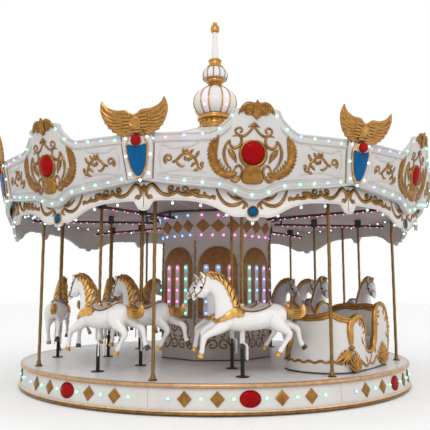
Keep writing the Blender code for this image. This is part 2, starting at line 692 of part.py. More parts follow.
def chariot_point(plan, height, inset=0.0):
    """Plan point (radius, ahead) in space, drawn in towards the middle of the car by about the inset."""
    radius = CHARIOT_MIDDLE + (plan[0] - CHARIOT_MIDDLE) * (1 - inset / CHARIOT_HALF_WIDTH)
    ahead = CHARIOT_CENTRE + (plan[1] - CHARIOT_CENTRE) * (1 - inset / CHARIOT_HALF_LENGTH)
    return Vector((-ahead, -radius, height))


def chariot_levels(low, waist, high, top):
    """Plan point and height of a station at foot, skirt, waist and top; the skirt is upright only in front."""
    foot = DECK_TOP + GAP
    skirt = low if low[1] > CHARIOT_CENTRE else waist
    return [(low, foot), (skirt, foot + (top - foot) * CHARIOT_SKIRT),
            (waist, foot + (top - foot) * CHARIOT_WAIST), (high, top)]


def chariot_shell():
    """Car with a curved dash, a taller back and a dipping entry on each side, on its own floor."""
    foot = DECK_TOP + GAP
    stations = (chariot_side(CHARIOT_OUTER) + chariot_dash() + chariot_side(CHARIOT_INNER)[::-1] +
                chariot_back())
    rings = []
    for station in stations:
        levels = chariot_levels(*station)
        rings.append([chariot_point(plan, height) for plan, height in levels] +
                     [chariot_point(plan, height, CHARIOT_WALL) for plan, height in reversed(levels)])
    wall = loft(rings, closed=True)
    floor = loft([[chariot_point(low, level, CHARIOT_WALL / 2) for low, _, _, _ in stations]
                  for level in (foot + GAP, foot + CHARIOT_FLOOR)])
    return combine([wall, floor])


def chariot_bench():
    """Bench across the back of the car."""
    foot = DECK_TOP + CHARIOT_FLOOR + 2 * GAP
    side = CHARIOT_HALF_WIDTH - CHARIOT_WALL - BENCH_CLEARANCE
    return box((BENCH_FRONT, -CHARIOT_MIDDLE - side, foot),
               (BENCH_BACK, -CHARIOT_MIDDLE + side, BENCH_HEIGHT))


def main():
    clear_scene()
    white = material("white_lacquer", (0.75, 0.73, 0.70), 0.35)
    gold = material("old_gold", (0.50, 0.28, 0.08), 0.35, 0.9)
    dark = material("dark_steel", (0.05, 0.04, 0.04), 0.5, 0.6)
    place("ground_frame", ground_frame(), dark)
    place("turntable_frame", turntable_frame(), dark)
    place("deck_floor", deck_floor(), white)
    place("deck_fascia", deck_fascia(), white)
    place("core_drum", core_drum(), white)
    place("core_frieze", core_frieze(), white)
    place("ceiling", ceiling(), white)
    place("crank_shafts", crank_shafts(), dark)
    place("canopy_rim", canopy_rim(), dark)
    place("valance", valance(), white)
    place("roof", roof(), white)
    place("dome_base", dome_base(), gold)
    place("dome_onion", dome_onion(), white)
    place("dome_lantern", dome_lantern(), white)
    place("spire", spire(), white)
    board = rounding_board()
    badge = shield()
    pole = canopy_pole()
    for k in range(SECTORS):
        place(f"rounding_board_{k + 1}", board, white, turn=k * SECTOR)
        place(f"shield_{k + 1}", badge, white, turn=(k + 0.5) * SECTOR)
        place(f"canopy_pole_{k + 1}", pole, gold, polar((k + 0.5) * SECTOR, CANOPY_POLE_ROW, 0))
    steed = horse()
    for name, azimuth, radius in horse_places():
        place(name, steed, white, polar(azimuth, radius, DECK_TOP), azimuth + pi)
    place("chariot_shell", chariot_shell(), white, turn=CHARIOT_SECTOR * SECTOR)
    place("chariot_bench", chariot_bench(), gold, turn=CHARIOT_SECTOR * SECTOR)


main()
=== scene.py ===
# %% [markdown]
# # Dressing a fairground carousel
# The frame of the carousel (platform, poles, ceiling, boards, dome and the plain shapes of the horses)
# comes ready made. This lesson adds what the eye enjoys: gilded carving, mouldings, jewels, light
# bulbs, carved horses and a chariot. Everything is in metres, with the platform's axis on the Z axis.

from math import atan, asin, cos, degrees, pi, radians, sin, sqrt

import bmesh
import bpy
from mathutils import Matrix, Vector


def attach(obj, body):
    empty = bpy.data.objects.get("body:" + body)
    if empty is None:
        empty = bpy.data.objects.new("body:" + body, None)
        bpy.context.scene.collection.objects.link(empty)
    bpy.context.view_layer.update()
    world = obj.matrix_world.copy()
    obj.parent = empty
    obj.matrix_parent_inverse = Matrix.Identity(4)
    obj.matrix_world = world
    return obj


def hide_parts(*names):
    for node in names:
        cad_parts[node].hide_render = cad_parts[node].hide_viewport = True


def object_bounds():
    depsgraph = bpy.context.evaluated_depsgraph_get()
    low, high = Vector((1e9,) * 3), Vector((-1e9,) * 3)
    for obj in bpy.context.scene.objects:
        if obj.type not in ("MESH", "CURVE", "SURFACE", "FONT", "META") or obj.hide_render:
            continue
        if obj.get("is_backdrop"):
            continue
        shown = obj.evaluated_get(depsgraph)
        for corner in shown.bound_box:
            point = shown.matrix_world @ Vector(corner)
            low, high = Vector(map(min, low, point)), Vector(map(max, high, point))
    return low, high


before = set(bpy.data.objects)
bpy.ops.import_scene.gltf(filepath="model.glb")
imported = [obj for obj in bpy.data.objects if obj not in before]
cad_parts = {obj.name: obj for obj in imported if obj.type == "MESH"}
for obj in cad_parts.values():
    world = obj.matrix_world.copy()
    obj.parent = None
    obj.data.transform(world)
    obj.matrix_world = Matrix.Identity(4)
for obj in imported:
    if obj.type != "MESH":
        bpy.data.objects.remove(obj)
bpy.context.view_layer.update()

# %% [markdown]
# ## Measures that the pieces share
# The carousel repeats every 45 degrees. Azimuth 0 faces the visitor, and azimuths grow towards +X. A
# sector's middle line carries a rounding board and a pair of seats, and the line between two sectors a
# gilded pole.

# %% Shared measures
SECTORS = 8
SECTOR = 2 * pi / SECTORS
DECK_TOP = 0.36
CEILING = 2.6
BOARD_RADIUS = 3.371
BOARD_LEVEL = 2.907
BOARD_LEAN = 0.219
VALANCE_FACE = 3.19
CORE_INRADIUS = 0.84
CORE_TURN = radians(-4.5)
OUTER_ROW = 2.49
INNER_ROW = 1.71
CHARIOT_SECTOR = 1


def polar(azimuth, radius, height):
    """Point at an azimuth from the front, a distance from the axis and a height."""
    return Vector((radius * sin(azimuth), -radius * cos(azimuth), height))


def board_face(height):
    """Radius of the rounding boards' leaning face."""
    return BOARD_RADIUS + BOARD_LEAN * (height - BOARD_LEVEL)


def fascia_face(height):
    """Radius of the platform apron's leaning face."""
    return 2.986 - 0.022 * (height - 0.075) / 0.24


print("A sector is", degrees(SECTOR), "degrees wide, and a board stands",
    round(board_face(BOARD_LEVEL), 3), "m out")

# %% [markdown]
# ## Finishes
# Fairground work is fibreglass and timber under gloss paint: warm white panels, old gold with grime left
# in its hollows, red and blue enamel, and twisted brass poles. Paint and gold are also darkened in their
# corners and hollows, as painted shade. Each finish is a small node tree on object coordinates. Two
# noises, a broad one for yellowing and a fine one for the brushed surface, keep any of them from looking
# flat.

# %% Node helpers
def finish(name, roughness, metallic=0.0, coat=0.0, gloss=0.5):
    """New material with its shader, its node tree and its object coordinates."""
    made = bpy.data.materials.new(name)
    made.use_nodes = True
    tree = made.node_tree
    shader = tree.nodes["Principled BSDF"]
    shader.inputs["Roughness"].default_value = roughness
    shader.inputs["Metallic"].default_value = metallic
    shader.inputs["Coat Weight"].default_value = coat
    shader.inputs["Specular IOR Level"].default_value = gloss
    shader.inputs["Coat Roughness"].default_value = 0.08
    where = tree.nodes.new("ShaderNodeTexCoord").outputs["Object"]
    return made, tree, shader, where


def noise(tree, where, scale, detail=4.0, roughness=0.55):
    made = tree.nodes.new("ShaderNodeTexNoise")
    made.inputs["Scale"].default_value = scale
    made.inputs["Detail"].default_value = detail
    made.inputs["Roughness"].default_value = roughness
    tree.links.new(where, made.inputs["Vector"])
    return made.outputs["Fac"]


def ramp(tree, value, stops):
    """Colour ramp from (position, colour) stops."""
    made = tree.nodes.new("ShaderNodeValToRGB")
    band = made.color_ramp
    while len(band.elements) < len(stops):
        band.elements.new(0.5)
    for element, (position, colour) in zip(band.elements, stops):
        element.position = position
        element.color = (*colour, 1.0)
    tree.links.new(value, made.inputs["Fac"])
    return made.outputs["Color"]


def mixed(tree, share, first, second, blend="MIX"):
    """Mix of two colours by a share, each a socket or a plain value."""
    made = tree.nodes.new("ShaderNodeMix")
    made.data_type = "RGBA"
    made.blend_type = blend
    for socket, value in ((made.inputs[0], share), (made.inputs[6], first), (made.inputs[7], second)):
        if isinstance(value, bpy.types.NodeSocket):
            tree.links.new(value, socket)
        elif isinstance(value, tuple):
            socket.default_value = (*value, 1.0)
        else:
            socket.default_value = value
    return made.outputs[2]


def relief(tree, shader, value, strength, distance=0.002):
    made = tree.nodes.new("ShaderNodeBump")
    made.inputs["Strength"].default_value = strength
    made.inputs["Distance"].default_value = distance
    tree.links.new(value, made.inputs["Height"])
    tree.links.new(made.outputs["Normal"], shader.inputs["Normal"])


def hollows(tree, reach, low, high):
    """Share of grime and painted shade in the corners of a carving, from ambient occlusion: 1 in a hollow, 0
    in the open.
    """
    shade = tree.nodes.new("ShaderNodeAmbientOcclusion")
    shade.samples = 4
    shade.inputs["Distance"].default_value = reach
    spread = tree.nodes.new("ShaderNodeMapRange")
    spread.inputs["From Min"].default_value = high
    spread.inputs["From Max"].default_value = low
    tree.links.new(shade.outputs["AO"], spread.inputs["Value"])
    return spread.outputs["Result"]


# %% Paint, gold and enamel
def lacquer(name, clean, aged, roughness=0.36, coat=0.12, grime_and_shade=(0.3, 0.25, 0.2), grime_and_shade_share=0.45):
    """Gloss paint over fibreglass, a little yellowed in broad patches, dusty and darkened by painted shade in
    its corners.
    """
    made, tree, shader, where = finish(name, roughness, coat=coat, gloss=0.3)
    patches = ramp(tree, noise(tree, where, 2.3, 6.0), [(0.35, clean), (0.75, aged)])
    # Painted shade with dust: the paint is mixed towards grey brown where ambient occlusion finds a corner.
    corners = tree.nodes.new("ShaderNodeMath")
    corners.operation = "MULTIPLY"
    corners.inputs[1].default_value = grime_and_shade_share
    tree.links.new(hollows(tree, 0.05, 0.35, 0.85), corners.inputs[0])
    tree.links.new(mixed(tree, corners.outputs[0], patches, grime_and_shade), shader.inputs["Base Color"])
    relief(tree, shader, noise(tree, where, 38.0, 3.0), 0.18)
    return made


def gilding(name, bright, deep, roughness=0.33, metallic=0.85):
    """Old gold paint: bright where it is rubbed, dark brown in the hollows of the carving from grime and
    painted shade.
    """
    made, tree, shader, where = finish(name, roughness, metallic)
    rubbed = ramp(tree, noise(tree, where, 16.0, 5.0), [(0.3, deep), (0.62, bright)])
    # Painted shade with grime: the gold turns dark brown where ambient occlusion finds a hollow.
    brown = (deep[0] * 0.28, deep[1] * 0.24, deep[2] * 0.22)
    tree.links.new(mixed(tree, hollows(tree, 0.03, 0.3, 0.8), rubbed, brown), shader.inputs["Base Color"])
    spread = tree.nodes.new("ShaderNodeMapRange")
    spread.inputs["To Min"].default_value = roughness - 0.08
    spread.inputs["To Max"].default_value = roughness + 0.16
    tree.links.new(noise(tree, where, 45.0, 3.0), spread.inputs["Value"])
    tree.links.new(spread.outputs["Result"], shader.inputs["Roughness"])
    relief(tree, shader, noise(tree, where, 70.0, 4.0), 0.35)
    return made


def enamel(name, colour, dark, roughness=0.2):
    """Thick glossy enamel on a jewel or a shield."""
    made, tree, shader, where = finish(name, roughness, gloss=0.03)
    tree.links.new(ramp(tree, noise(tree, where, 9.0), [(0.3, dark), (0.7, colour)]),
        shader.inputs["Base Color"])
    relief(tree, shader, noise(tree, where, 55.0, 2.0), 0.1)
    return made


WHITE = lacquer("white_paint", (0.63, 0.6, 0.575), (0.57, 0.54, 0.505))
HORSE_WHITE = lacquer("horse_lacquer", (0.74, 0.725, 0.71), (0.69, 0.67, 0.64), 0.26, 0.3)
GOLD = gilding("old_gold", (0.34, 0.165, 0.036), (0.19, 0.085, 0.018))
BRIGHT_GOLD = gilding("bright_gold", (0.62, 0.33, 0.08), (0.42, 0.2, 0.045), 0.28)
# Painted highlight: the top roll of the apron is gilded in the colour of its highlight.
TOP_ROLL_HIGHLIGHT_GOLD = gilding("top_roll_painted_highlight_gold", (0.57, 0.345, 0.18), (0.43, 0.24, 0.112), 0.3)
# Painted highlight: the upper of the two bottom rolls is gilded pale, for the bright line the light draws
# along it.
PALE_HIGHLIGHT_GOLD = gilding("pale_painted_highlight_gold", (0.78, 0.55, 0.36), (0.62, 0.42, 0.25), 0.3)
RED = enamel("red_enamel", (0.32, 0.002, 0.004), (0.23, 0.0015, 0.003))
BLUE = enamel("blue_enamel", (0.002, 0.085, 0.225), (0.0015, 0.065, 0.18), 0.3)
SHADE_GREY = lacquer("core_paint", (0.48, 0.43, 0.405), (0.42, 0.37, 0.345), 0.5, 0.0)
# Painted shade: the ceiling under the canopy gets a darker, redder grey.
CEILING_SHADE_PAINT = lacquer("ceiling_painted_shade", (0.37, 0.285, 0.275), (0.32, 0.24, 0.23), 0.5, 0.0)
print("Paints:", [m.name for m in (WHITE, HORSE_WHITE, GOLD, BRIGHT_GOLD, RED, BLUE, SHADE_GREY)])


# %% Deck, steel, brass and hoof
def deck_sheet():
    """Pale anti-slip sheet with scuffs that run round the platform, and painted shade near the parts that
    stand on it.
    """
    made, tree, shader, where = finish("deck_sheet", 0.42, coat=0.1)
    scuffs = ramp(tree, noise(tree, where, 5.0, 8.0, 0.65), [(0.3, (0.72, 0.7, 0.685)),
            (0.7, (0.61, 0.59, 0.575))])
    # Painted shade: the sheet is mixed towards dark brown where ambient occlusion finds a part close by.
    shade_near_parts = tree.nodes.new("ShaderNodeMath")
    shade_near_parts.operation = "MULTIPLY"
    shade_near_parts.inputs[1].default_value = 0.25
    tree.links.new(hollows(tree, 0.12, 0.3, 0.9), shade_near_parts.inputs[0])
    tree.links.new(mixed(tree, shade_near_parts.outputs[0], scuffs, (0.12, 0.09, 0.08)), shader.inputs["Base Color"])
    relief(tree, shader, noise(tree, where, 120.0, 2.0), 0.2)
    return made


def dark_steel(name="dark_steel", colour=(0.035, 0.03, 0.03)):
    made, tree, shader, where = finish(name, 0.42, 0.5)
    worn = tuple(min(1.0, c * 2.4 + 0.01) for c in colour)
    tree.links.new(ramp(tree, noise(tree, where, 14.0, 6.0), [(0.45, colour), (0.85, worn)]),
        shader.inputs["Base Color"])
    relief(tree, shader, noise(tree, where, 60.0), 0.2)
    return made


def hoof_horn():
    made, tree, shader, where = finish("hoof_horn", 0.3, coat=0.4)
    tree.links.new(ramp(tree, noise(tree, where, 20.0), [(0.3, (0.012, 0.01, 0.009)),
                (0.8, (0.05, 0.04, 0.035))]), shader.inputs["Base Color"])
    return made


def bulb_light(name, colour, strength):
    """Lit bulb of clear coloured plastic over a diode."""
    made, tree, shader, where = finish(name, 0.25)
    dim = tuple(0.6 * c for c in colour)
    tree.links.new(ramp(tree, noise(tree, where, 90.0), [(0.3, dim), (0.7, colour)]),
        shader.inputs["Base Color"])
    shader.inputs["Emission Color"].default_value = (*colour, 1.0)
    shader.inputs["Emission Strength"].default_value = strength
    return made


DECK = deck_sheet()
STEEL = dark_steel()
HOOF = hoof_horn()
BULB_POWER = 4.0
LIGHTS = {"mint": bulb_light("mint_bulb", (0.13, 1.0, 0.62), BULB_POWER),
    "blue": bulb_light("blue_bulb", (0.13, 0.32, 1.0), BULB_POWER),
    "pink": bulb_light("pink_bulb", (1.0, 0.16, 0.5), BULB_POWER),
    "violet": bulb_light("violet_bulb", (0.46, 0.24, 1.0), BULB_POWER),
    "white": bulb_light("white_bulb", (0.62, 0.92, 1.0), BULB_POWER),
    "soft": bulb_light("soft_bulb", (0.55, 0.88, 0.82), 1.5)}
print("Bulb colours:", list(LIGHTS))

# %% [markdown]
# ## Making, bending and placing pieces
# Carving on a round building is easiest to draw flat, as a wood carver does, and then to bend round the
# drum. A stroke is a line of (across, height, half width) points. It becomes a roll that swells and
# tapers, flattened to a relief. The helpers below draw such strokes, bend them onto a face, and repeat
# them round the carousel.

# %% Mesh helpers
def to_mesh(shape, angle=40):
    """Mesh of a bmesh with its faces pointing out, smooth but for its sharp edges."""
    bmesh.ops.remove_doubles(shape, verts=shape.verts, dist=0.00002)
    bmesh.ops.recalc_face_normals(shape, faces=shape.faces)
    mesh = bpy.data.meshes.new("shape")
    shape.to_mesh(mesh)
    shape.free()
    return smooth(mesh, angle)


def smooth(mesh, angle=40):
    mesh.shade_smooth()
    mesh.set_sharp_from_angle(angle=radians(angle))
    return mesh


def moved(mesh, matrix):
    """Copy of a mesh, set elsewhere."""
    copy = mesh.copy()
    copy.transform(matrix)
    if matrix.determinant() < 0:
        copy.flip_normals()
    return copy


def turned_by(azimuth):
    return Matrix.Rotation(azimuth, 4, "Z")


def fused(meshes):
    """All the meshes as one."""
    shape = bmesh.new()
    for mesh in meshes:
        shape.from_mesh(mesh)
    whole = bpy.data.meshes.new("fused")
    shape.to_mesh(whole)
    shape.free()
    return whole


def around(mesh, offset=0.0, turns=range(SECTORS)):
    """The mesh repeated in every sector."""
    return fused([moved(mesh, turned_by(offset + k * SECTOR)) for k in turns])


def show(name, parts, body="turntable", nodes=()):
    """Piece from (mesh, finish) pairs that are in place, riding on a body and standing for its CAD nodes."""
    finishes = []
    for _, paint in parts:
        if paint not in finishes:
            finishes.append(paint)
    shape = bmesh.new()
    for mesh, paint in parts:
        first = len(shape.faces)
        shape.from_mesh(mesh)
        shape.faces.ensure_lookup_table()
        for face in shape.faces[first:]:
            face.material_index = finishes.index(paint)
    data = bpy.data.meshes.new(name)
    shape.to_mesh(data)
    shape.free()
    for paint in finishes:
        data.materials.append(paint)
    item = bpy.data.objects.new(name, data)
    bpy.context.collection.objects.link(item)
    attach(item, body)
    if nodes:
        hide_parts(*nodes)
    data.calc_loop_triangles()
    print(name, "has", len(data.loop_triangles), "triangles")
    return item


def paint_node(node, *paints):
    """Gives a CAD node its finish."""
    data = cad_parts[node].data
    data.materials.clear()
    for paint in paints:
        data.materials.append(paint)


# %% Lines and strokes
def flowing(points, steps=4):
    """Smooth line through points of any size, with so many steps between each two."""
    line = []
    last = len(points) - 1
    for i in range(last):
        before, start = points[max(i - 1, 0)], points[i]
        end, after = points[i + 1], points[min(i + 2, last)]
        for j in range(steps):
            t = j / steps
            line.append(tuple(0.5 * (2 * b + (c - a) * t + (2 * a - 5 * b + 4 * c - d) * t * t +
                        (3 * b - a - 3 * c + d) * t ** 3) for a, b, c, d in zip(before, start, end,
                        after)))
    line.append(tuple(points[-1]))
    return line


def volute(centre, radius, start, turn, width, tip=0.35, steps=10):
    """Spiral stroke that winds in round a centre: angles in degrees, a negative turn winds clockwise."""
    line = []
    for i in range(steps + 1):
        t = i / steps
        angle = radians(start + turn * t)
        reach = radius * (1 - 0.78 * t ** 0.85)
        line.append((centre[0] + reach * cos(angle), centre[1] + reach * sin(angle),
                width * (1 - (1 - tip) * t) if t < 0.9 else width * tip * 1.7))
    return line


def mirrored(strokes):
    """The strokes and their mirror images across the middle line."""
    return strokes + [[(-point[0], *point[1:]) for point in stroke] for stroke in strokes]


def shifted(strokes, across=0.0, up=0.0):
    return [[(point[0] + across, point[1] + up, *point[2:]) for point in stroke] for stroke in strokes]


def bolder(strokes, factor):
    """The strokes, each made wider by a factor."""
    return [[(*point[:-1], point[-1] * factor) for point in stroke] for stroke in strokes]


def rolls(paths, sides=1, cyclic=False, steps=4):
    """Tapering round rolls along paths of (x, y, z, radius) points."""
    data = bpy.data.curves.new("rolls", "CURVE")
    data.dimensions = "3D"
    data.bevel_depth = 1.0
    data.bevel_resolution = sides
    data.use_fill_caps = not cyclic
    for path in paths:
        line = flowing(path, steps) if steps > 1 else path
        spline = data.splines.new("POLY")
        spline.use_cyclic_u = cyclic
        spline.points.add(len(line) - 1)
        for point, (x, y, z, radius) in zip(spline.points, line):
            point.co = (x, y, z, 1.0)
            point.radius = max(radius, 0.0005)
    item = bpy.data.objects.new("rolls", data)
    bpy.context.collection.objects.link(item)
    bpy.context.view_layer.update()
    mesh = bpy.data.meshes.new_from_object(item)
    bpy.data.objects.remove(item)
    bpy.data.curves.remove(data)
    return smooth(mesh, 60)


def carved(strokes, depth=0.6, sides=1, steps=3):
    """Flat carving from strokes of (across, height, half width) points, standing on the XZ plane."""
    mesh = rolls([[(x, 0.0, z, width) for x, z, width in stroke] for stroke in strokes], sides,
        steps=steps)
    mesh.transform(Matrix.Diagonal((1.0, depth, 1.0, 1.0)))
    return mesh


def bent(mesh, face, azimuth=0.0, proud=0.0):
    """Bends a flat mesh round the carousel, onto a face given as a radius for each height."""
    for vertex in mesh.vertices:
        x, y, z = vertex.co
        radius = face(z)
        vertex.co = polar(azimuth + x / radius, radius - y + proud, z)
    mesh.update()
    return mesh


def lathe(profile, segments=48, closed=True, angle=35):
    """Turned shape from (radius, height) points; an open profile starts and ends on the axis."""
    shape = bmesh.new()
    points = [shape.verts.new((radius, 0, height)) for radius, height in profile]
    pairs = list(zip(points, points[1:]))
    if closed:
        pairs.append((points[-1], points[0]))
    edges = [shape.edges.new(pair) for pair in pairs]
    bmesh.ops.spin(shape, geom=points + edges, cent=(0, 0, 0), axis=(0, 0, 1), angle=2 * pi,
        steps=segments, use_merge=True)
    return to_mesh(shape, angle)


def plate(outline, thickness, rounding=0.0, segments=2):
    """Flat plate from an (across, height) outline, with its front edge rounded over."""
    shape = bmesh.new()
    corners = [shape.verts.new((x, 0, z)) for x, z in outline]
    face = shape.faces.new(corners)
    made = bmesh.ops.extrude_face_region(shape, geom=[face])
    front = [v for v in made["geom"] if isinstance(v, bmesh.types.BMVert)]
    bmesh.ops.translate(shape, verts=front, vec=(0, -thickness, 0))
    if rounding:
        rim = [e for e in shape.edges if all(v in front for v in e.verts)]
        bmesh.ops.bevel(shape, geom=rim, offset=rounding, segments=segments, profile=0.5, affect="EDGES",
            material=-1)
    return to_mesh(shape, 30)


def dome(radius, height, segments=20, rings=4, foot=0.0):
    """Low round cushion facing -Y, such as a jewel."""
    profile = [(0, foot)] + [(radius * cos(i * pi / 2 / rings), foot + height * sin(i * pi / 2 / rings))
        for i in range(rings)] + [(0, foot + height)]
    mesh = lathe(profile, segments, closed=False, angle=60)
    mesh.transform(Matrix.Rotation(pi / 2, 4, "X"))
    return mesh


def bulb(radius=0.016):
    shape = bmesh.new()
    bmesh.ops.create_icosphere(shape, subdivisions=2, radius=radius)
    return to_mesh(shape, 180)


print("A flowing line through 3 points has", len(flowing([(0, 0), (1, 1), (2, 0)])), "points")

# %% [markdown]
# ## Rounding boards
# The eight boards that hide the canopy's edge are the show face of the ride. The real ones are moulded
# fibreglass with gilded relief. A board is a panel with a raised shoulder at its middle. Its edge is
# drawn as (angle, top, bottom) and lofted, so that it bends with the canopy, and a rolled moulding
# follows the edge.

# %% Board panels
BOARD_EDGE = [(0, 3.392, 2.405), (1.6, 3.394, 2.412), (3.5, 3.392, 2.458), (4.5, 3.374, 2.49),
    (4.8, 3.315, 2.498), (5.6, 3.262, 2.513), (6.7, 3.204, 2.525), (7.5, 3.17, 2.531), (8.7, 3.14, 2.537),
    (11.5, 3.14, 2.551), (15, 3.14, 2.57), (18.5, 3.14, 2.598), (22.44, 3.14, 2.64)]
BOARD_THICKNESS = 0.05
EDGE_ROUNDING = 0.008
MEDALLION_SHIFT = -0.026


def both_halves(half):
    """Columns of the whole board from those of its right-hand half."""
    return [(-column[0], *column[1:]) for column in reversed(half[1:])] + half


def halves(outline):
    """Closed outline from the right-hand half, whose first and last points are on the middle line."""
    return outline + [(-x, z) for x, z in reversed(outline[1:-1])]


def panel_ring(angle, top, bottom):
    """Section of the board with its front corners rounded over."""
    azimuth, soft = radians(angle), EDGE_ROUNDING
    corners = [(bottom, -BOARD_THICKNESS), (bottom, -soft), (bottom + soft * 0.3, -soft * 0.3),
        (bottom + soft, 0), (top - soft, 0), (top - soft * 0.3, -soft * 0.3), (top, -soft),
        (top, -BOARD_THICKNESS)]
    return [polar(azimuth, board_face(level) + depth, level) for level, depth in corners]


def loft(rings, closed=False, angle=35):
    """Solid through rings of equally many points, capped at its ends unless it closes on itself."""
    shape = bmesh.new()
    rows = [[shape.verts.new(point) for point in ring] for ring in rings]
    count = len(rows[0])
    pairs = list(zip(rows, rows[1:]))
    if closed:
        pairs.append((rows[-1], rows[0]))
    else:
        shape.faces.new(rows[0][::-1])
        shape.faces.new(rows[-1])
    for low, high in pairs:
        for i in range(count):
            j = (i + 1) % count
            shape.faces.new((low[i], low[j], high[j], high[i]))
    return to_mesh(shape, angle)


# Painted shade: the boards lean out at the top and face a little down, so they get a darker copy of the white
# paint.
BOARD_SHADE_WHITE = lacquer("board_painted_shade", (0.5, 0.475, 0.46), (0.45, 0.425, 0.405))
board_columns = flowing(both_halves(BOARD_EDGE), 2)
board = loft([panel_ring(*column) for column in board_columns])
for k in range(SECTORS):
    show(f"rounding_board_panel_{k + 1}", [(moved(board, turned_by(k * SECTOR)), BOARD_SHADE_WHITE)],
        nodes=[f"rounding_board_{k + 1}"])

# %% [markdown]
# The mouldings run along the top and the bottom of each board, in two lines with a channel for bulbs
# between them. They stop at the pilasters. The outer line climbs over the shoulder to the crest.

# %% Board mouldings
PILASTER_ANGLE = 19.2


def edge_at(angle, side):
    """Height of the board's top (side 1) or bottom (side 2) edge at an angle."""
    for (low, *first), (high, *second) in zip(BOARD_EDGE, BOARD_EDGE[1:]):
        if low <= abs(angle) <= high:
            share = (abs(angle) - low) / (high - low)
            return first[side - 1] + share * (second[side - 1] - first[side - 1])
    return BOARD_EDGE[-1][side]


def edge_line(side, inset, first, last, width, steps=22):
    """Stroke that keeps a distance from the board's edge, measured square to it, between two angles."""
    edge = []
    for i in range(steps + 1):
        angle = first + (last - first) * i / steps
        height = edge_at(angle, side)
        edge.append((radians(angle) * board_face(height), height))
    line = []
    for i, (x, z) in enumerate(edge):
        (x0, z0), (x1, z1) = edge[max(i - 2, 0)], edge[min(i + 2, steps)]
        length = sqrt((x1 - x0) ** 2 + (z1 - z0) ** 2)
        inward = inset if side == 2 else -inset
        line.append((x - (z1 - z0) / length * inward, z + (x1 - x0) / length * inward, width))
    return line


def on_boards(strokes, depth=0.6, sides=1, steps=3, proud=0.0):
    """Carving bent onto the boards' face, in every sector."""
    return around(bent(carved(strokes, depth, sides, steps), board_face, proud=proud))


outer_lines = mirrored([edge_line(1, 0.012, 4.4, PILASTER_ANGLE, 0.013),
        edge_line(1, 0.086, 5.6, PILASTER_ANGLE, 0.01), edge_line(1, 0.104, 5.9, PILASTER_ANGLE, 0.006)])
lower_lines = mirrored([edge_line(2, 0.012, 0.0, PILASTER_ANGLE, 0.013),
        edge_line(2, 0.08, 0.0, PILASTER_ANGLE, 0.01), edge_line(2, 0.098, 0.0, PILASTER_ANGLE, 0.006)])
show("board_mouldings", [(on_boards(outer_lines + lower_lines, 0.9), BOARD_SHADE_WHITE)])

# %% [markdown]
# The gilding is a carved medallion with a red jewel, two feathered fronds that cradle it, an arrow-shaped
# cap with scrolling arms, and a spray of flowers on each side. All of it is drawn flat, as strokes about
# the jewel.

# %% Medallion and fronds
JEWEL_LEVEL = 2.907


def circle_stroke(centre, radius, width, steps=28):
    return [(centre[0] + radius * cos(2 * pi * i / steps), centre[1] + radius * sin(2 * pi * i / steps),
            width) for i in range(steps + 1)]


def barbs(inner, outer, count, width, lean=0.35):
    """Feathered leaf: slanting strokes from its spine to its edge, with a stroke along the spine."""
    inner, outer = flowing(inner, 8), flowing(outer, 8)

    def along(line, share):
        return line[min(len(line) - 1, max(0, round(share * (len(line) - 1))))]

    strokes = []
    for i in range(count):
        start = along(inner, i / (count - 1) * (1 - lean * 0.3))
        end = along(outer, min(1.0, (i + 0.5) / count + lean * 0.3))
        middle = tuple((a + b) / 2 for a, b in zip(start, end))
        strokes.append([(*start, width * 0.6), (*middle, width), (*end, width * 0.45)])
    strokes.append([(*point, width * 0.8) for point in inner[::4]])
    return strokes


frond_inner = [(0.172, 2.688), (0.247, 2.687), (0.316, 2.702), (0.37, 2.755), (0.401, 2.82),
    (0.411, 2.893), (0.407, 2.944), (0.4, 3.02), (0.393, 3.09)]
frond_outer = [(0.19, 2.64), (0.277, 2.621), (0.341, 2.639), (0.408, 2.677), (0.458, 2.728),
    (0.4925, 2.8), (0.5085, 2.87), (0.5106, 2.934), (0.498, 3.0), (0.4605, 3.055), (0.396, 3.102)]
inner_barbs = [[(x, z, 0.013), (x - 0.01, z + 0.028, 0.014),
        (x - 0.016 - 0.03 * (x - 0.2), z + 0.054, 0.004)] for x, z in ((0.386, 2.788), (0.364, 2.748),
        (0.335, 2.72), (0.3, 2.702), (0.26, 2.692), (0.22, 2.69))]
frond = barbs(frond_inner, frond_outer, 17, 0.0165, 0.45) + inner_barbs
side_strips = [[(0.262, 3.047, 0.005), (0.283, 3.03, 0.012), (0.312, 2.977, 0.017), (0.327, 2.912, 0.019),
        (0.318, 2.846, 0.018), (0.292, 2.785, 0.014), (0.25, 2.742, 0.007)],
    [(0.283, 2.955, 0.005), (0.262, 2.926, 0.024), (0.238, 2.898, 0.036), (0.21, 2.853, 0.027),
        (0.182, 2.797, 0.005)]]
curls = [[(0.204, 2.72, 0.007), (0.189, 2.756, 0.011), (0.158, 2.77, 0.012), (0.127, 2.748, 0.013),
        (0.118, 2.712, 0.013), (0.125, 2.677, 0.012), (0.147, 2.65, 0.01), (0.178, 2.655, 0.005)],
    [(0.258, 2.65, 0.005), (0.235, 2.618, 0.013), (0.196, 2.602, 0.018), (0.158, 2.62, 0.015),
        (0.132, 2.657, 0.007)], [(0.15, 3.085, 0.01), (0.134, 3.042, 0.013), (0.152, 2.987, 0.014),
        (0.206, 2.958, 0.014), (0.247, 2.974, 0.013), (0.264, 3.008, 0.01), (0.26, 3.045, 0.005)]]
arms = [[(0.0, 3.195, 0.013), (0.06, 3.125, 0.014), (0.118, 3.088, 0.015), (0.162, 3.094, 0.014),
        (0.203, 3.127, 0.013), (0.202, 3.16, 0.012), (0.165, 3.18, 0.012), (0.133, 3.16, 0.011),
        (0.136, 3.134, 0.01), (0.158, 3.132, 0.012)], [(0.12, 3.09, 0.01), (0.172, 3.098, 0.012),
        (0.236, 3.086, 0.006)]]


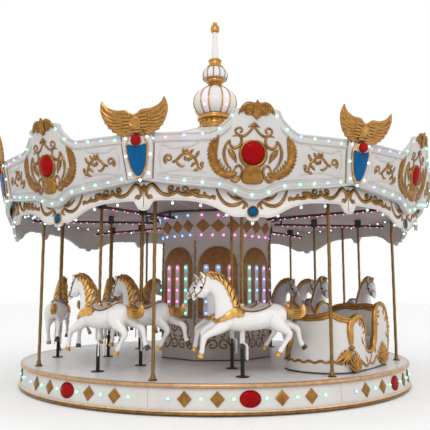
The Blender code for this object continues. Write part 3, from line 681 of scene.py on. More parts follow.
def jewel_rim(steps=36):
    """Rim round the jewel, a thin lip at its top that swells into a heavy collar at its foot."""
    line = []
    for i in range(steps + 1):
        angle = 2 * pi * i / steps
        outer = 0.138 + 0.035 * (0.5 - 0.5 * sin(angle)) ** 0.45
        reach = (0.122 + outer) / 2
        line.append((reach * cos(angle), JEWEL_LEVEL + reach * sin(angle), (outer - 0.122) / 2 + 0.002))
    return line


ring = [jewel_rim(), circle_stroke((0, JEWEL_LEVEL), 0.127, 0.007, 36)]
medallion = shifted(mirrored(frond + side_strips + bolder(curls, 1.25) + arms) + ring, MEDALLION_SHIFT)
cap = plate([(-0.066, 3.186), (-0.02, 3.197), (0, 3.19), (0.02, 3.197), (0.066, 3.186), (0.028, 3.222),
        (0, 3.243), (-0.028, 3.222)], 0.02, 0.008)


def bulging(profile, depth, steps=12):
    """Upright body that bulges forward, from (height, half width) rows."""
    rings = []
    for height, half_width in profile:
        rings.append([Vector((half_width * cos(pi * i / steps),
                        -depth * min(1.0, half_width / 0.09) * sin(pi * i / steps), height))
                for i in range(steps + 1)])
    return loft(rings, angle=60)


apron = bulging([(2.568, 0.03), (2.573, 0.075), (2.584, 0.104), (2.602, 0.121), (2.63, 0.129),
        (2.655, 0.125), (2.683, 0.113), (2.705, 0.102), (2.725, 0.095), (2.76, 0.09)], 0.034)


def frond_bed():
    """Thin backing under the fronds that closes the gaps between their barbs."""
    beds = []
    for side in (1, -1):
        inner = [(side * x, z) for x, z in flowing(frond_inner, 3)]
        outer = [(side * x * 0.985, z) for x, z in flowing(frond_outer, 3)]
        beds.append(plate(inner + outer[::-1], 0.004))
    return fused(beds)


jewel = dome(0.127, 0.05, 32, 5)
jewel.transform(Matrix.Translation((0, 0, JEWEL_LEVEL)))
backing = fused([moved(piece, Matrix.Translation((MEDALLION_SHIFT, 0, 0)))
        for piece in (cap, apron, frond_bed())])
jewel = moved(jewel, Matrix.Translation((MEDALLION_SHIFT, 0, 0)))
show("board_medallions", [(on_boards(medallion, 0.75, 1, 3, 0.002), GOLD),
        (around(bent(backing, board_face)), GOLD)])
show("board_jewels", [(around(bent(jewel, board_face)), RED)])

# %% Flower sprays and crests
spray = [volute((0.969, 2.853), 0.055, 300, 430, 0.012), [(0.925, 2.812, 0.009), (0.884, 2.828, 0.01),
        (0.85, 2.86, 0.011), (0.816, 2.894, 0.01)], [(0.816, 2.894, 0.01), (0.775, 2.906, 0.011),
        (0.731, 2.894, 0.01), (0.6715, 2.845, 0.01), (0.645, 2.79, 0.01), (0.629, 2.746, 0.008),
        (0.6, 2.735, 0.007), (0.5865, 2.76, 0.005)], [(0.884, 2.828, 0.007), (0.86, 2.79, 0.01),
        (0.82, 2.765, 0.009), (0.785, 2.772, 0.005)], [(0.775, 2.906, 0.006), (0.765, 2.932, 0.014),
        (0.752, 2.955, 0.004)], [(0.8, 2.902, 0.005), (0.805, 2.935, 0.011), (0.798, 2.957, 0.004)],
    [(0.731, 2.894, 0.006), (0.712, 2.925, 0.012), (0.69, 2.945, 0.004)],
    [(0.6715, 2.845, 0.006), (0.645, 2.895, 0.013), (0.625, 2.928, 0.005)],
    [(0.69, 2.862, 0.006), (0.725, 2.845, 0.013), (0.748, 2.815, 0.004)],
    [(0.655, 2.81, 0.005), (0.69, 2.785, 0.012), (0.716, 2.755, 0.004)],
    volute((0.765, 2.848), 0.026, 60, -330, 0.01, steps=7), volute((0.585, 2.79), 0.028, 250, 330, 0.01,
        steps=7), [(0.62, 2.74, 0.006), (0.655, 2.722, 0.012), (0.69, 2.715, 0.004)]]
embossed = [[(1.071, 2.996, 0.005), (1.02, 3.004, 0.006), (0.935, 2.965, 0.006), (0.799, 2.9725, 0.006),
        (0.697, 2.988, 0.006), (0.6205, 3.035, 0.006), (0.5695, 3.027, 0.005)],
    [(1.0455, 2.722, 0.005), (1.003, 2.705, 0.006), (0.935, 2.722, 0.006), (0.799, 2.73, 0.006),
        (0.697, 2.722, 0.006), (0.595, 2.705, 0.006), (0.544, 2.689, 0.005)],
    [(1.06, 2.97, 0.004), (1.075, 2.9, 0.006), (1.07, 2.82, 0.006), (1.05, 2.75, 0.004)]]
show("board_sprays", [(on_boards(mirrored(bolder(spray, 1.55)), 0.6, 1, 3, 0.001), GOLD)])
show("board_embossing", [(on_boards(mirrored(bolder(embossed, 1.5)), 0.7), BOARD_SHADE_WHITE)])

CREST_LEVEL = 3.34
crest_back = plate(halves([(0, -0.035), (0.05, -0.026), (0.11, -0.022), (0.142, 0.006), (0.16, 0.045),
            (0.14, 0.085), (0.09, 0.1), (0, 0.092)]), 0.01, 0.004)
diamond = plate(halves([(0, -0.07), (0.022, -0.05), (0.04, -0.033), (0.05, -0.018), (0.04, 0.0),
            (0.037, 0.03), (0.04, 0.06), (0.049, 0.086), (0.043, 0.103), (0.022, 0.112), (0, 0.142)]),
    0.026, 0.009, 3)
crest = mirrored([[(0.015, 0.08, 0.012), (0.052, 0.094, 0.019), (0.1, 0.096, 0.022), (0.147, 0.074, 0.02),
            (0.181, 0.032, 0.014), (0.203, -0.016, 0.006)], volute((0.092, 0.026), 0.058, 75, -430,
            0.0125, 0.7, 16), [(0.148, 0.055, 0.012), (0.165, 0.03, 0.012), (0.172, 0.0, 0.005)],
        [(0.012, -0.044, 0.004), (0.018, 0.02, 0.007), (0.02, 0.08, 0.004)]])


def on_crest(mesh):
    mesh = moved(mesh, Matrix.Translation((0, 0, CREST_LEVEL)))
    return around(bent(mesh, board_face))


crest_carving = moved(carved(crest, 0.65, 1, 3), Matrix.Translation((0, -0.009, 0)))
show("board_crests", [(on_crest(piece), GOLD) for piece in (crest_back, diamond, crest_carving)])

# %% [markdown]
# ## Bulbs
# Every edge of the ride is dotted with coloured bulbs, a bulb every hand's breadth, in a white collar.

# %% Bulbs on the boards
def bulb_rows(places, face, proud=0.004, radius=0.0135):
    """Bulbs of each colour from (across, height, colour) places on a face, in every sector."""
    rows = {}
    for across, height, colour in places:
        azimuth = across / face(height)
        lamp = moved(bulb(radius), Matrix.Translation(polar(azimuth, face(height) + proud, height)))
        rows.setdefault(colour, []).append(lamp)
    return {colour: around(fused(lamps)) for colour, lamps in rows.items()}


def show_bulbs(name, rows, collars=None):
    parts = [(mesh, LIGHTS[colour]) for colour, mesh in rows.items()]
    if collars:
        parts.append((collars, WHITE))
    return show(name, parts)


def bulb_collars(places, face, radius=0.021):
    made = []
    for across, height, _ in places:
        ring = dome(radius, 0.006, 12, 2)
        ring.transform(Matrix.Translation((across, 0, height)))
        made.append(bent(ring, face))
    return around(fused(made))


board_lamps = [(-1.15, 3.08, "blue"), (-1.009, 3.083, "pink"), (-0.8, 3.1, "blue"),
    (-0.594, 3.115, "blue"), (-0.407, 3.166, "mint"), (-0.276, 3.308, "mint"), (0.229, 3.316, "mint"),
    (0.355, 3.178, "mint"), (0.526, 3.115, "blue"), (0.7, 3.105, "mint"), (0.88, 3.096, "blue"),
    (1.06, 3.085, "mint"), (-0.98, 2.64, "blue"), (-0.784, 2.612, "mint"), (-0.583, 2.591, "mint"),
    (-0.389, 2.566, "blue"), (-0.215, 2.5, "mint"), (-0.024, 2.452, "mint"), (0.167, 2.488, "mint"),
    (0.353, 2.561, "mint"), (0.537, 2.588, "mint"), (0.717, 2.606, "mint"), (0.897, 2.628, "blue"),
    (1.075, 2.652, "mint")]
show_bulbs("board_bulbs", bulb_rows(board_lamps, board_face), bulb_collars(board_lamps, board_face))

# %% [markdown]
# ## Shields, balls and wings
# A pilaster covers each joint between two boards. It carries a blue shield with a red ball, and a pair of
# spread wings over the cornice. The feathers are overlapping strokes that fan out from the shoulder, on a
# thin backing.

# %% Pilasters and shields
PLATE_THICKNESS = 0.02
BALL_LEVEL = 3.058
BALL_RADIUS = 0.06
BALL_STAND_OFF = 0.056
plate_half = [(0, 2.641), (0.145, 2.641), (0.15, 2.7), (0.16, 2.8), (0.172, 2.88), (0.182, 2.98),
    (0.184, 3.149), (0, 3.149)]
shield_half = [(0, 2.652), (0.03, 2.658), (0.058, 2.702), (0.086, 2.774), (0.105, 2.85), (0.116, 2.92),
    (0.122, 2.98), (0.123, 3.01), (0.112, 3.034), (0.099, 3.055), (0.094, 3.1), (0, 3.101)]


def at_corners(mesh, proud=0.0):
    """A flat mesh bent onto the boards' face at every joint between two boards."""
    return around(bent(mesh, board_face, proud=proud), SECTOR / 2)


pilaster = plate(halves(plate_half), PLATE_THICKNESS, 0.006)
grooves = carved(mirrored([[(x + 0.012, z, 0.006) for x, z in plate_half[1:-1]]]), 0.8, 1, 1)
shield_body = plate(halves(shield_half), 0.02, 0.008, 3)
rim_half = shield_half[:-1]
shield_rim = carved([[(x, z, 0.012) for x, z in rim_half[::-1] + [(-x, z) for x, z in rim_half[1:]]]],
    1.0, 1, 2)
field_half = [(0, 2.668), (0.028, 2.676), (0.052, 2.712), (0.079, 2.774), (0.096, 2.84), (0.107, 2.906),
    (0.113, 2.971), (0.115, 3.008), (0.098, 3.022), (0.05, 3.004), (0, 3.0)]
shield_field = plate(halves(field_half), 0.022, 0.014, 4)
ball = bmesh.new()
bmesh.ops.create_uvsphere(ball, u_segments=24, v_segments=16, radius=BALL_RADIUS)
ball = to_mesh(ball, 180)
ball_at = Matrix.Translation(polar(0, board_face(BALL_LEVEL) + BALL_STAND_OFF, BALL_LEVEL))
cup = carved([circle_stroke((0, BALL_LEVEL), 0.058, 0.01, 20)], 1.0, 1, 1)
show("pilasters", [(at_corners(pilaster), BOARD_SHADE_WHITE), (at_corners(grooves), GOLD)])
show("shields", [(at_corners(shield_body, PLATE_THICKNESS), BOARD_SHADE_WHITE),
        (at_corners(shield_field, PLATE_THICKNESS + 0.012), BLUE),
        (at_corners(shield_rim, PLATE_THICKNESS + 0.012), BRIGHT_GOLD),
        (at_corners(cup, PLATE_THICKNESS + 0.02), BRIGHT_GOLD)])
show("shield_balls", [(around(moved(ball, ball_at), SECTOR / 2), RED)])

# %% Spread wings
WING_FOOT = 3.112
WING_STAND_OFF = 0.018
WING_LEAN = 0.1
wing_half = [(0, 3.114), (0.1, 3.118), (0.175, 3.128), (0.235, 3.152), (0.29, 3.188), (0.334, 3.23),
    (0.368, 3.284), (0.392, 3.34), (0.402, 3.398), (0.392, 3.455), (0.372, 3.5), (0.34, 3.45),
    (0.284, 3.41), (0.2, 3.386), (0.1, 3.382), (0.052, 3.348), (0, 3.332)]
wing_back = plate(halves(wing_half), 0.02, 0.006)


def on_wings(mesh, proud=0.0):
    """A flat mesh on the front of the wings, which lean out over the cornice."""
    for vertex in mesh.vertices:
        x, y, z = vertex.co
        vertex.co = (x, y - board_face(z) - WING_STAND_OFF - proud - WING_LEAN * (z - WING_FOOT), z)
    mesh.update()
    return around(mesh, SECTOR / 2)


feather_lines = [((0.085, 3.345), (0.18, 3.34), (0.3, 3.378), (0.378, 3.468)),
    ((0.095, 3.315), (0.185, 3.3), (0.31, 3.325), (0.389, 3.405)),
    ((0.095, 3.285), (0.18, 3.268), (0.29, 3.28), (0.379, 3.338)),
    ((0.095, 3.258), (0.17, 3.24), (0.27, 3.238), (0.357, 3.275)),
    ((0.09, 3.232), (0.155, 3.213), (0.24, 3.2), (0.324, 3.222)),
    ((0.085, 3.206), (0.14, 3.188), (0.21, 3.17), (0.281, 3.18)),
    ((0.075, 3.182), (0.12, 3.165), (0.175, 3.146), (0.228, 3.148)),
    ((0.065, 3.16), (0.1, 3.146), (0.135, 3.13), (0.172, 3.13))]
feathers = [[(*root, 0.009), (*first, 0.0155), (*second, 0.023), (*tip, 0.017)]
    for root, first, second, tip in feather_lines]
ridges = [[(*first, 0.004), (*second, 0.0085), ((second[0] + 3 * tip[0]) / 4,
            (second[1] + 3 * tip[1]) / 4, 0.008), (*tip, 0.003)]
    for _, first, second, tip in feather_lines]
shoulder = [[(0.0, 3.318, 0.016), (0.05, 3.338, 0.018), (0.1, 3.366, 0.02), (0.2, 3.37, 0.02),
        (0.285, 3.398, 0.018), (0.342, 3.44, 0.014), (0.371, 3.494, 0.006)]]
coverts = [[(0.035, 3.31 - 0.033 * i, 0.014), (0.095, 3.318 - 0.036 * i, 0.019),
        (0.16, 3.322 - 0.037 * i, 0.013)] for i in range(5)]
chest = [[(0.046, 3.288, 0.014), (0.022, 3.262, 0.01)], [(0.06, 3.235, 0.016), (0.03, 3.205, 0.016)]]
roll = [[(-0.09, 3.152, 0.016), (0, 3.146, 0.019), (0.09, 3.152, 0.016)],
    [(-0.03, 3.196, 0.008), (0, 3.193, 0.012), (0.03, 3.196, 0.008)]]
breast = dome(0.085, 0.03, 24, 4)
breast.transform(Matrix.Translation((0, 0, 3.235)) @ Matrix.Diagonal((1.0, 1.0, 1.05, 1.0)))
WING_GOLD = gilding("wing_gold", (0.45, 0.235, 0.064), (0.36, 0.175, 0.044), 0.27)
show("spread_wings", [(on_wings(piece, proud), WING_GOLD) for piece, proud in ((wing_back, 0.0),
            (carved(mirrored(feathers + shoulder), 0.9, 3, 6), 0.012),
            (carved(mirrored(ridges), 0.8, 2, 6), 0.027), (carved(mirrored(coverts), 0.6, 1, 3), 0.022),
            (breast, 0.014), (carved(mirrored(chest) + roll, 0.8, 1, 3), 0.034))],
    nodes=[f"shield_{k + 1}" for k in range(SECTORS)])

shield_lamps = [(-0.135, 3.091, "white"), (-0.146, 2.895, "white"), (-0.108, 2.7, "white"),
    (0.01, 2.628, "white"), (0.116, 2.7, "white"), (0.148, 2.905, "white"), (0.125, 3.095, "white")]


def corner_face(height):
    """Front of a pilaster at a height."""
    return board_face(height) + PLATE_THICKNESS


lamp_parts = {colour: moved(mesh, turned_by(SECTOR / 2)) for colour, mesh in bulb_rows(shield_lamps,
        corner_face).items()}
show_bulbs("shield_bulbs", lamp_parts, moved(bulb_collars(shield_lamps, corner_face),
        turned_by(SECTOR / 2)))

# %% [markdown]
# ## Valance
# Under the boards hangs a wavy skirt. Its gilded band has a swag at each side of the blue gem, a running
# vine, and a scroll at each corner. The lower edge is a thick rolled lip, with a bulb every hand's
# breadth under it.

# %% Valance lip and gilding
VALANCE_EDGE = [(0, 2.173), (0.9, 2.186), (1.35, 2.222), (3.2, 2.217), (4.4, 2.232), (6.0, 2.278),
    (7.7, 2.327), (10, 2.372), (13, 2.404), (19.5, 2.418), (20.6, 2.4), (21.5, 2.322), (22.5, 2.305)]
GEM_LEVEL = 2.275


def valance_face(_height):
    return VALANCE_FACE


def on_valance(mesh, proud=0.0, offset=0.0):
    return around(bent(mesh, valance_face, proud=proud), offset)


lip_line = [(radians(angle) * VALANCE_FACE, edge + 0.004, 0.012) for angle, edge in VALANCE_EDGE]
lip = mirrored([lip_line])
paint_node("valance", WHITE)
show("valance_lip", [(on_valance(carved(lip, 0.9, 1, 3)), WHITE)])

vine = [volute((1.186, 2.45), 0.03, 200, -400, 0.011, steps=8),
    [(1.214, 2.462, 0.009), (1.222, 2.515, 0.013), (1.2, 2.572, 0.014), (1.15, 2.6, 0.014),
        (1.105, 2.562, 0.013), (1.045, 2.497, 0.013), (0.96, 2.473, 0.013), (0.872, 2.505, 0.012),
        (0.838, 2.555, 0.009)], [(1.222, 2.515, 0.008), (1.24, 2.56, 0.012), (1.246, 2.6, 0.006)],
    volute((0.924, 2.545), 0.04, 250, 430, 0.012), volute((0.772, 2.527), 0.048, 290, -430, 0.012),
    [(0.86, 2.512, 0.011), (0.77, 2.47, 0.013), (0.69, 2.482, 0.013), (0.656, 2.535, 0.009)],
    volute((0.622, 2.497), 0.038, 250, 430, 0.012), [(0.685, 2.482, 0.011), (0.615, 2.452, 0.013),
        (0.53, 2.45, 0.012), (0.47, 2.427, 0.011)], volute((0.452, 2.437), 0.024, 250, -400, 0.011,
        steps=7), [(0.84, 2.56, 0.006), (0.85, 2.53, 0.014), (0.845, 2.49, 0.006)],
    [(0.69, 2.53, 0.006), (0.7, 2.5, 0.013), (0.695, 2.455, 0.005)],
    [(0.55, 2.5, 0.005), (0.54, 2.47, 0.012), (0.52, 2.43, 0.005)]]
swag = [[(0.41, 2.535, 0.008), (0.388, 2.467, 0.014), (0.332, 2.385, 0.016), (0.254, 2.345, 0.017),
        (0.168, 2.358, 0.016), (0.107, 2.398, 0.01)], [(0.107, 2.402, 0.008), (0.09, 2.365, 0.013),
        (0.096, 2.325, 0.012), (0.12, 2.312, 0.006)], [(0.29, 2.49, 0.006), (0.236, 2.44, 0.013),
        (0.17, 2.415, 0.015), (0.11, 2.432, 0.008)], [(0.2, 2.478, 0.006), (0.185, 2.447, 0.013),
        (0.15, 2.425, 0.006)], [(0.085, 2.385, 0.006), (0.06, 2.35, 0.012), (0.062, 2.322, 0.005)]]
show("valance_vine", [(on_valance(carved(mirrored(bolder(vine, 1.75) + bolder(swag, 1.35)), 0.55, 1, 2)),
            GOLD)])

# %% Gems and corner joints
gem = dome(0.05, 0.03, 24, 4)
gem.transform(Matrix.Translation((0, 0, GEM_LEVEL)))
gem_ring = carved([circle_stroke((0, GEM_LEVEL), 0.058, 0.011, 24)], 1.0, 1, 1)
gem_seat = dome(0.082, 0.012, 28, 2)
gem_seat.transform(Matrix.Translation((0, 0, GEM_LEVEL)))
seam = carved([[(0, 2.345, 0.004), (0, 2.62, 0.004)]], 1.0, 1, 1)
tips = carved(mirrored([[(0.012, 2.335, 0.014), (0.045, 2.35, 0.018), (0.085, 2.392, 0.014),
                (0.13, 2.43, 0.006)]]), 0.6)
show("valance_gems", [(on_valance(gem, 0.008), BLUE), (on_valance(gem_ring, 0.01), GOLD),
        (on_valance(gem_seat), WHITE)])
show("valance_corners", [(on_valance(tips, 0.0, SECTOR / 2), WHITE),
        (on_valance(seam, 0.0, SECTOR / 2), STEEL)])

lamps, stems = [], []
for angle, drop in ((0, 0.026), (5.4, 0.024), (10.6, 0.032), (16.4, 0.034), (-5.4, 0.024), (-10.6, 0.032),
        (-16.4, 0.034)):
    for (low, first), (high, second) in zip(VALANCE_EDGE, VALANCE_EDGE[1:]):
        if low <= abs(angle) <= high:
            edge = first + (abs(angle) - low) / (high - low) * (second - first)
    place = polar(radians(angle), VALANCE_FACE - 0.015, edge - drop)
    lamps.append(moved(bulb(0.016), Matrix.Translation(place)))
    stems.append(moved(lathe([(0, 0.008), (0.011, 0.008), (0.012, drop), (0.012, drop + 0.01),
                    (0, drop + 0.01)], 10, closed=False), Matrix.Translation(place)))
show("valance_bulbs", [(around(fused(lamps)), LIGHTS["soft"]), (around(fused(stems)), WHITE)])

# %% [markdown]
# ## Platform
# The platform's apron carries gold rolls, diamonds and a red oval per sector, with bulbs between them.
# Ornament that is cut from sheet is a plate, and a diamond is a low pyramid, so that each of its faces
# catches the light.

# %% Gold rolls and studs of the apron
def round_roll(radius, height, half_width, half_height, segments=96, sides=8):
    """Ring with an oval section round the axis."""
    return lathe([(radius + half_width * cos(2 * pi * i / sides),
                height + half_height * sin(2 * pi * i / sides)) for i in range(sides)], segments,
        angle=60)


def pyramid(half_width, half_height, rise):
    """Diamond with a bevelled edge and a low point, facing -Y."""
    shape = bmesh.new()
    corners = ((half_width, 0), (0, half_height), (-half_width, 0), (0, -half_height))
    rows = []
    for scale, depth in ((1.0, 0.004), (1.0, -rise * 0.35), (0.86, -rise * 0.55)):
        rows.append([shape.verts.new((x * scale, depth, z * scale)) for x, z in corners])
    point = shape.verts.new((0, -rise, 0))
    shape.faces.new(rows[0])
    for low, high in zip(rows, rows[1:]):
        for i in range(4):
            shape.faces.new((low[i], low[(i + 1) % 4], high[(i + 1) % 4], high[i]))
    for i in range(4):
        shape.faces.new((rows[-1][i], rows[-1][(i + 1) % 4], point))
    return to_mesh(shape, 15)


STUD_LEVEL = 0.192


def set_on(mesh, face, across, height):
    return bent(moved(mesh, Matrix.Translation((across, 0, height))), face)


paint_node("deck_fascia", WHITE)
paint_node("deck_floor", DECK)
show("apron_rolls", [(round_roll(2.981, 0.335, 0.02, 0.027), TOP_ROLL_HIGHLIGHT_GOLD),
        (round_roll(2.999, 0.058, 0.013, 0.014), PALE_HIGHLIGHT_GOLD), (round_roll(3.0, 0.033, 0.014, 0.014),
            GOLD)])
step = radians(3.57) * 2.98
diamonds = [set_on(pyramid(0.082, 0.088, 0.022), fascia_face, side * turn * step, STUD_LEVEL)
    for turn in (2, 4) for side in (1, -1)]
show("apron_diamonds", [(around(fused(diamonds)), GOLD)])
oval = dome(1.0, 0.026, 36, 5)
oval.transform(Matrix.Diagonal((0.112, 1.0, 0.083, 1.0)))
oval_ring = carved([[(0.116 * cos(2 * pi * i / 32), 0.087 * sin(2 * pi * i / 32), 0.009)
            for i in range(33)]], 0.9, 1, 1)
show("apron_ovals", [(around(set_on(oval, fascia_face, 0, STUD_LEVEL)), RED),
        (around(set_on(oval_ring, fascia_face, 0, STUD_LEVEL)), RED)])
apron_lamps = [(-5 * step, STUD_LEVEL, "blue")] + [(turn * step, STUD_LEVEL, "mint")
    for turn in (-3, -1, 1, 3, 5)]
show_bulbs("apron_bulbs", bulb_rows(apron_lamps, fascia_face, 0.006, 0.0155),
    bulb_collars(apron_lamps, fascia_face, 0.026))
seams = [set_on(plate([(-0.0018, -0.115), (0.0018, -0.115), (0.0018, 0.12), (-0.0018, 0.12)], 0.0015),
        fascia_face, 0, 0.195)]
show("apron_seams", [(around(fused(seams), SECTOR / 2), CEILING_SHADE_PAINT)])
deck_rim = lathe([(2.925, DECK_TOP + 0.0005), (2.958, DECK_TOP + 0.0005), (2.958, DECK_TOP + 0.003),
        (2.925, DECK_TOP + 0.003)], 96)
show("deck_rim", [(deck_rim, WHITE)])
paint_node("ground_frame", STEEL)
POST_BLACK = dark_steel("post_black", (0.006, 0.006, 0.007))
paint_node("turntable_frame", POST_BLACK)

# %% [markdown]
# ## Core
# The centre is an eight-sided drum that hides the drive. Each side has an arched panel in gold darkened to
# brown as painted shade, with three strips that carry a painted glow, a frieze of diamonds in the same
# shaded gold between two rows of bulbs, and scrollwork at its foot.

# %% Finishes of the core
def strip_with_painted_glow(name, colour):
    """Milky strip with a painted glow in the colour of its bulbs, in painted bands of light that are brighter
    near the bulbs on it.
    """
    made, tree, shader, where = finish(name, 0.4)
    # Painted light: bands up the strip stand for the light of the bulbs on it.
    rows = tree.nodes.new("ShaderNodeTexWave")
    rows.bands_direction = "Z"
    rows.inputs["Scale"].default_value = 1.55
    tree.links.new(where, rows.inputs["Vector"])
    tone = ramp(tree, rows.outputs["Fac"], [(0.0, tuple(c * 0.75 for c in colour)), (1.0, colour)])
    tree.links.new(tone, shader.inputs["Base Color"])
    tree.links.new(tone, shader.inputs["Emission Color"])
    # Painted glow: the strip emits light though it is no lamp.
    shader.inputs["Emission Strength"].default_value = 0.22
    return made


# Painted shade: on the core's arches and frieze, which stand in the canopy's shade, the gold is darkened to
# brown; the harness takes the same brown gold.
BROWN_GOLD_WITH_SHADE = gilding("brown_gold_with_shade", (0.29, 0.12, 0.026), (0.19, 0.072, 0.014), 0.42, 0.55)
STRIPS = {"mint": strip_with_painted_glow("mint_strip", (0.42, 0.55, 0.5)),
    "blue": strip_with_painted_glow("blue_strip", (0.44, 0.47, 0.6)), "pink": strip_with_painted_glow("pink_strip", (0.6, 0.44, 0.5)),
    "violet": strip_with_painted_glow("violet_strip", (0.5, 0.44, 0.6))}
for node in ("core_drum", "core_frieze"):
    paint_node(node, SHADE_GREY)
paint_node("ceiling", CEILING_SHADE_PAINT)
paint_node("crank_shafts", STEEL)
paint_node("canopy_rim", STEEL)


def drum_point(side, across, height, out):
    """Point on a side of the drum: across its middle, at a height, so far out from its flat."""
    turn = CORE_TURN + side * SECTOR
    middle = polar(turn, CORE_INRADIUS + out, height)
    return middle + Vector((cos(turn), sin(turn), 0)) * across


def on_drum(mesh, side, out=0.0):
    """A flat mesh stood against one side of the drum."""
    turn = CORE_TURN + side * SECTOR
    return moved(mesh, turned_by(turn) @ Matrix.Translation((0, -(CORE_INRADIUS + out), 0)))


def all_sides(mesh, out=0.0):
    return fused([on_drum(mesh, side, out) for side in range(SECTORS)])


# %% Arches, strips and their bulbs
ARCH_OUT = 0.0155


def arch_shape(half_width, foot, spring, top, steps=20):
    return [(-half_width, foot), (half_width, foot)] + [(half_width * cos(pi * i / steps),
            spring + (top - spring) * sin(pi * i / steps)) for i in range(steps + 1)]


arch = plate(arch_shape(0.286, 0.985, 1.77, 2.053), 0.006, 0.003)
arch_edge = carved([[(x, z, 0.006) for x, z in arch_shape(0.289, 0.982, 1.77, 2.057)[1:]] +
        [(-0.289, 0.982, 0.006)]], 0.9, 1, 1)
strip = plate([(-0.041, 1.015), (0.041, 1.015), (0.041, 1.76), (0.03, 1.785), (0, 1.795), (-0.03, 1.785),
        (-0.041, 1.76)], 0.008, 0.003)
strip_colours = [("blue", "blue", "pink"), ("mint", "blue", "violet"), ("violet", "mint", "pink"),
    ("pink", "blue", "mint"), ("blue", "blue", "pink"), ("mint", "blue", "violet"),
    ("violet", "violet", "mint"), ("pink", "pink", "mint")]
strips, strip_lamps = {}, {}
for side, colours in enumerate(strip_colours):
    for column, colour in zip((-0.182, 0.0, 0.182), colours):
        strips.setdefault(colour, []).append(on_drum(moved(strip, Matrix.Translation((column, 0, 0))),
                side, ARCH_OUT + 0.006))
        for row in range(5):
            strip_lamps.setdefault(colour, []).append(moved(bulb(0.017),
                    Matrix.Translation(drum_point(side, column, 1.745 - 0.172 * row, ARCH_OUT + 0.018))))
show("core_arches", [(all_sides(arch, ARCH_OUT), BROWN_GOLD_WITH_SHADE),
        (all_sides(arch_edge, ARCH_OUT + 0.002), GOLD)])
show("core_strips", [(fused(made), STRIPS[colour]) for colour, made in strips.items()])
show("core_strip_bulbs", [(fused(made), LIGHTS[colour]) for colour, made in strip_lamps.items()])

# %% Frieze
FRIEZE_FOOT = 2.21
FRIEZE_FLARE = 0.06
FRIEZE_HEIGHT = 0.33


def frieze_out(height):
    """How far the flaring frieze stands out from the drum at a height."""
    return 0.005 + (FRIEZE_FLARE - 0.005) * (height - FRIEZE_FOOT) / FRIEZE_HEIGHT


lean = Matrix.Rotation(atan((FRIEZE_FLARE - 0.005) / FRIEZE_HEIGHT), 4, "X")
frieze_diamonds = [moved(pyramid(0.112, 0.104, 0.012), Matrix.Translation((0.232 * i, -frieze_out(2.375),
                2.375)) @ lean) for i in (-1, 0, 1)]
show("frieze_diamonds", [(all_sides(fused(frieze_diamonds)), BROWN_GOLD_WITH_SHADE)])
row_colours = ["pink", "pink", "violet", "blue", "pink", "mint", "blue", "blue"]
frieze_lamps = {}
for side, colour in enumerate(row_colours):
    for height, columns in ((2.535, (-0.25, 0.0, 0.25)), (2.235, (-0.255, -0.085, 0.085, 0.255))):
        for column in columns:
            frieze_lamps.setdefault(colour, []).append(moved(bulb(0.016),
                    Matrix.Translation(drum_point(side, column, height, frieze_out(height) + 0.004))))
show("frieze_bulbs", [(fused(made), LIGHTS[colour]) for colour, made in frieze_lamps.items()])

# %% Scrollwork, corner beads and foot of the drum
foot_scroll = [[(0.174, 0.954, 0.007), (0.15, 0.928, 0.011), (0.09, 0.918, 0.011), (0.03, 0.88, 0.012),
        (0.025, 0.83, 0.012), (0.062, 0.79, 0.011), (0.118, 0.798, 0.011), (0.145, 0.845, 0.01),
        (0.112, 0.876, 0.01), (0.076, 0.85, 0.01), (0.09, 0.825, 0.01)],
    [(0.15, 0.928, 0.01), (0.196, 0.89, 0.012), (0.213, 0.82, 0.013), (0.19, 0.75, 0.014),
        (0.158, 0.685, 0.015), (0.163, 0.617, 0.013), (0.198, 0.566, 0.012), (0.245, 0.535, 0.012),
        (0.286, 0.552, 0.012), (0.276, 0.584, 0.012), (0.25, 0.578, 0.009)],
    [(0.068, 0.788, 0.008), (0.095, 0.742, 0.011), (0.07, 0.706, 0.013), (0.034, 0.716, 0.011)],
    [(0.14, 0.62, 0.01), (0.12, 0.655, 0.011), (0.06, 0.668, 0.012), (0.02, 0.617, 0.012),
        (0.03, 0.566, 0.012), (0.088, 0.545, 0.012), (0.128, 0.566, 0.011), (0.11, 0.602, 0.01),
        (0.084, 0.588, 0.01)], [(0.185, 0.72, 0.009), (0.225, 0.69, 0.012), (0.256, 0.712, 0.008)]]
show("core_scrolls", [(all_sides(carved(mirrored(foot_scroll), 0.6, 1, 3)), GOLD)])

corner_radius = CORE_INRADIUS / cos(pi / SECTORS)
beads, seams = [], []
for corner in range(SECTORS):
    azimuth = CORE_TURN + (corner + 0.5) * SECTOR
    for i in range(24):
        height = 0.52 + i * 0.068
        beads.append([(*polar(azimuth + 0.01 * (-1) ** i, corner_radius + 0.004, height), 0.01),
                (*polar(azimuth - 0.01 * (-1) ** i, corner_radius + 0.006, height + 0.034), 0.016),
                (*polar(azimuth + 0.01 * (-1) ** i, corner_radius + 0.004, height + 0.066), 0.009)])
    seams.append([(*polar(azimuth, corner_radius, 0.365), 0.009),
            (*polar(azimuth, corner_radius, 2.2), 0.009)])
show("core_corner_beads", [(rolls(beads, 0, steps=1), GOLD), (rolls(seams, 1, steps=1), SHADE_GREY)])
foot = [drum_point(side, side_end, 0.368, 0.004) for side in range(SECTORS)
    for side_end in (-0.348, 0.348)]
foot_line = rolls([[(*point, 0.008) for point in foot + foot[:1]]], 1, steps=1)
show("core_foot", [(foot_line, STEEL)])

# %% [markdown]
# ## Ceiling
# Under the ceiling run the crank shafts that work the horses, each with a row of small bulbs. The
# canopy's poles are brass tubes with a twisted rope pattern and a flared foot.

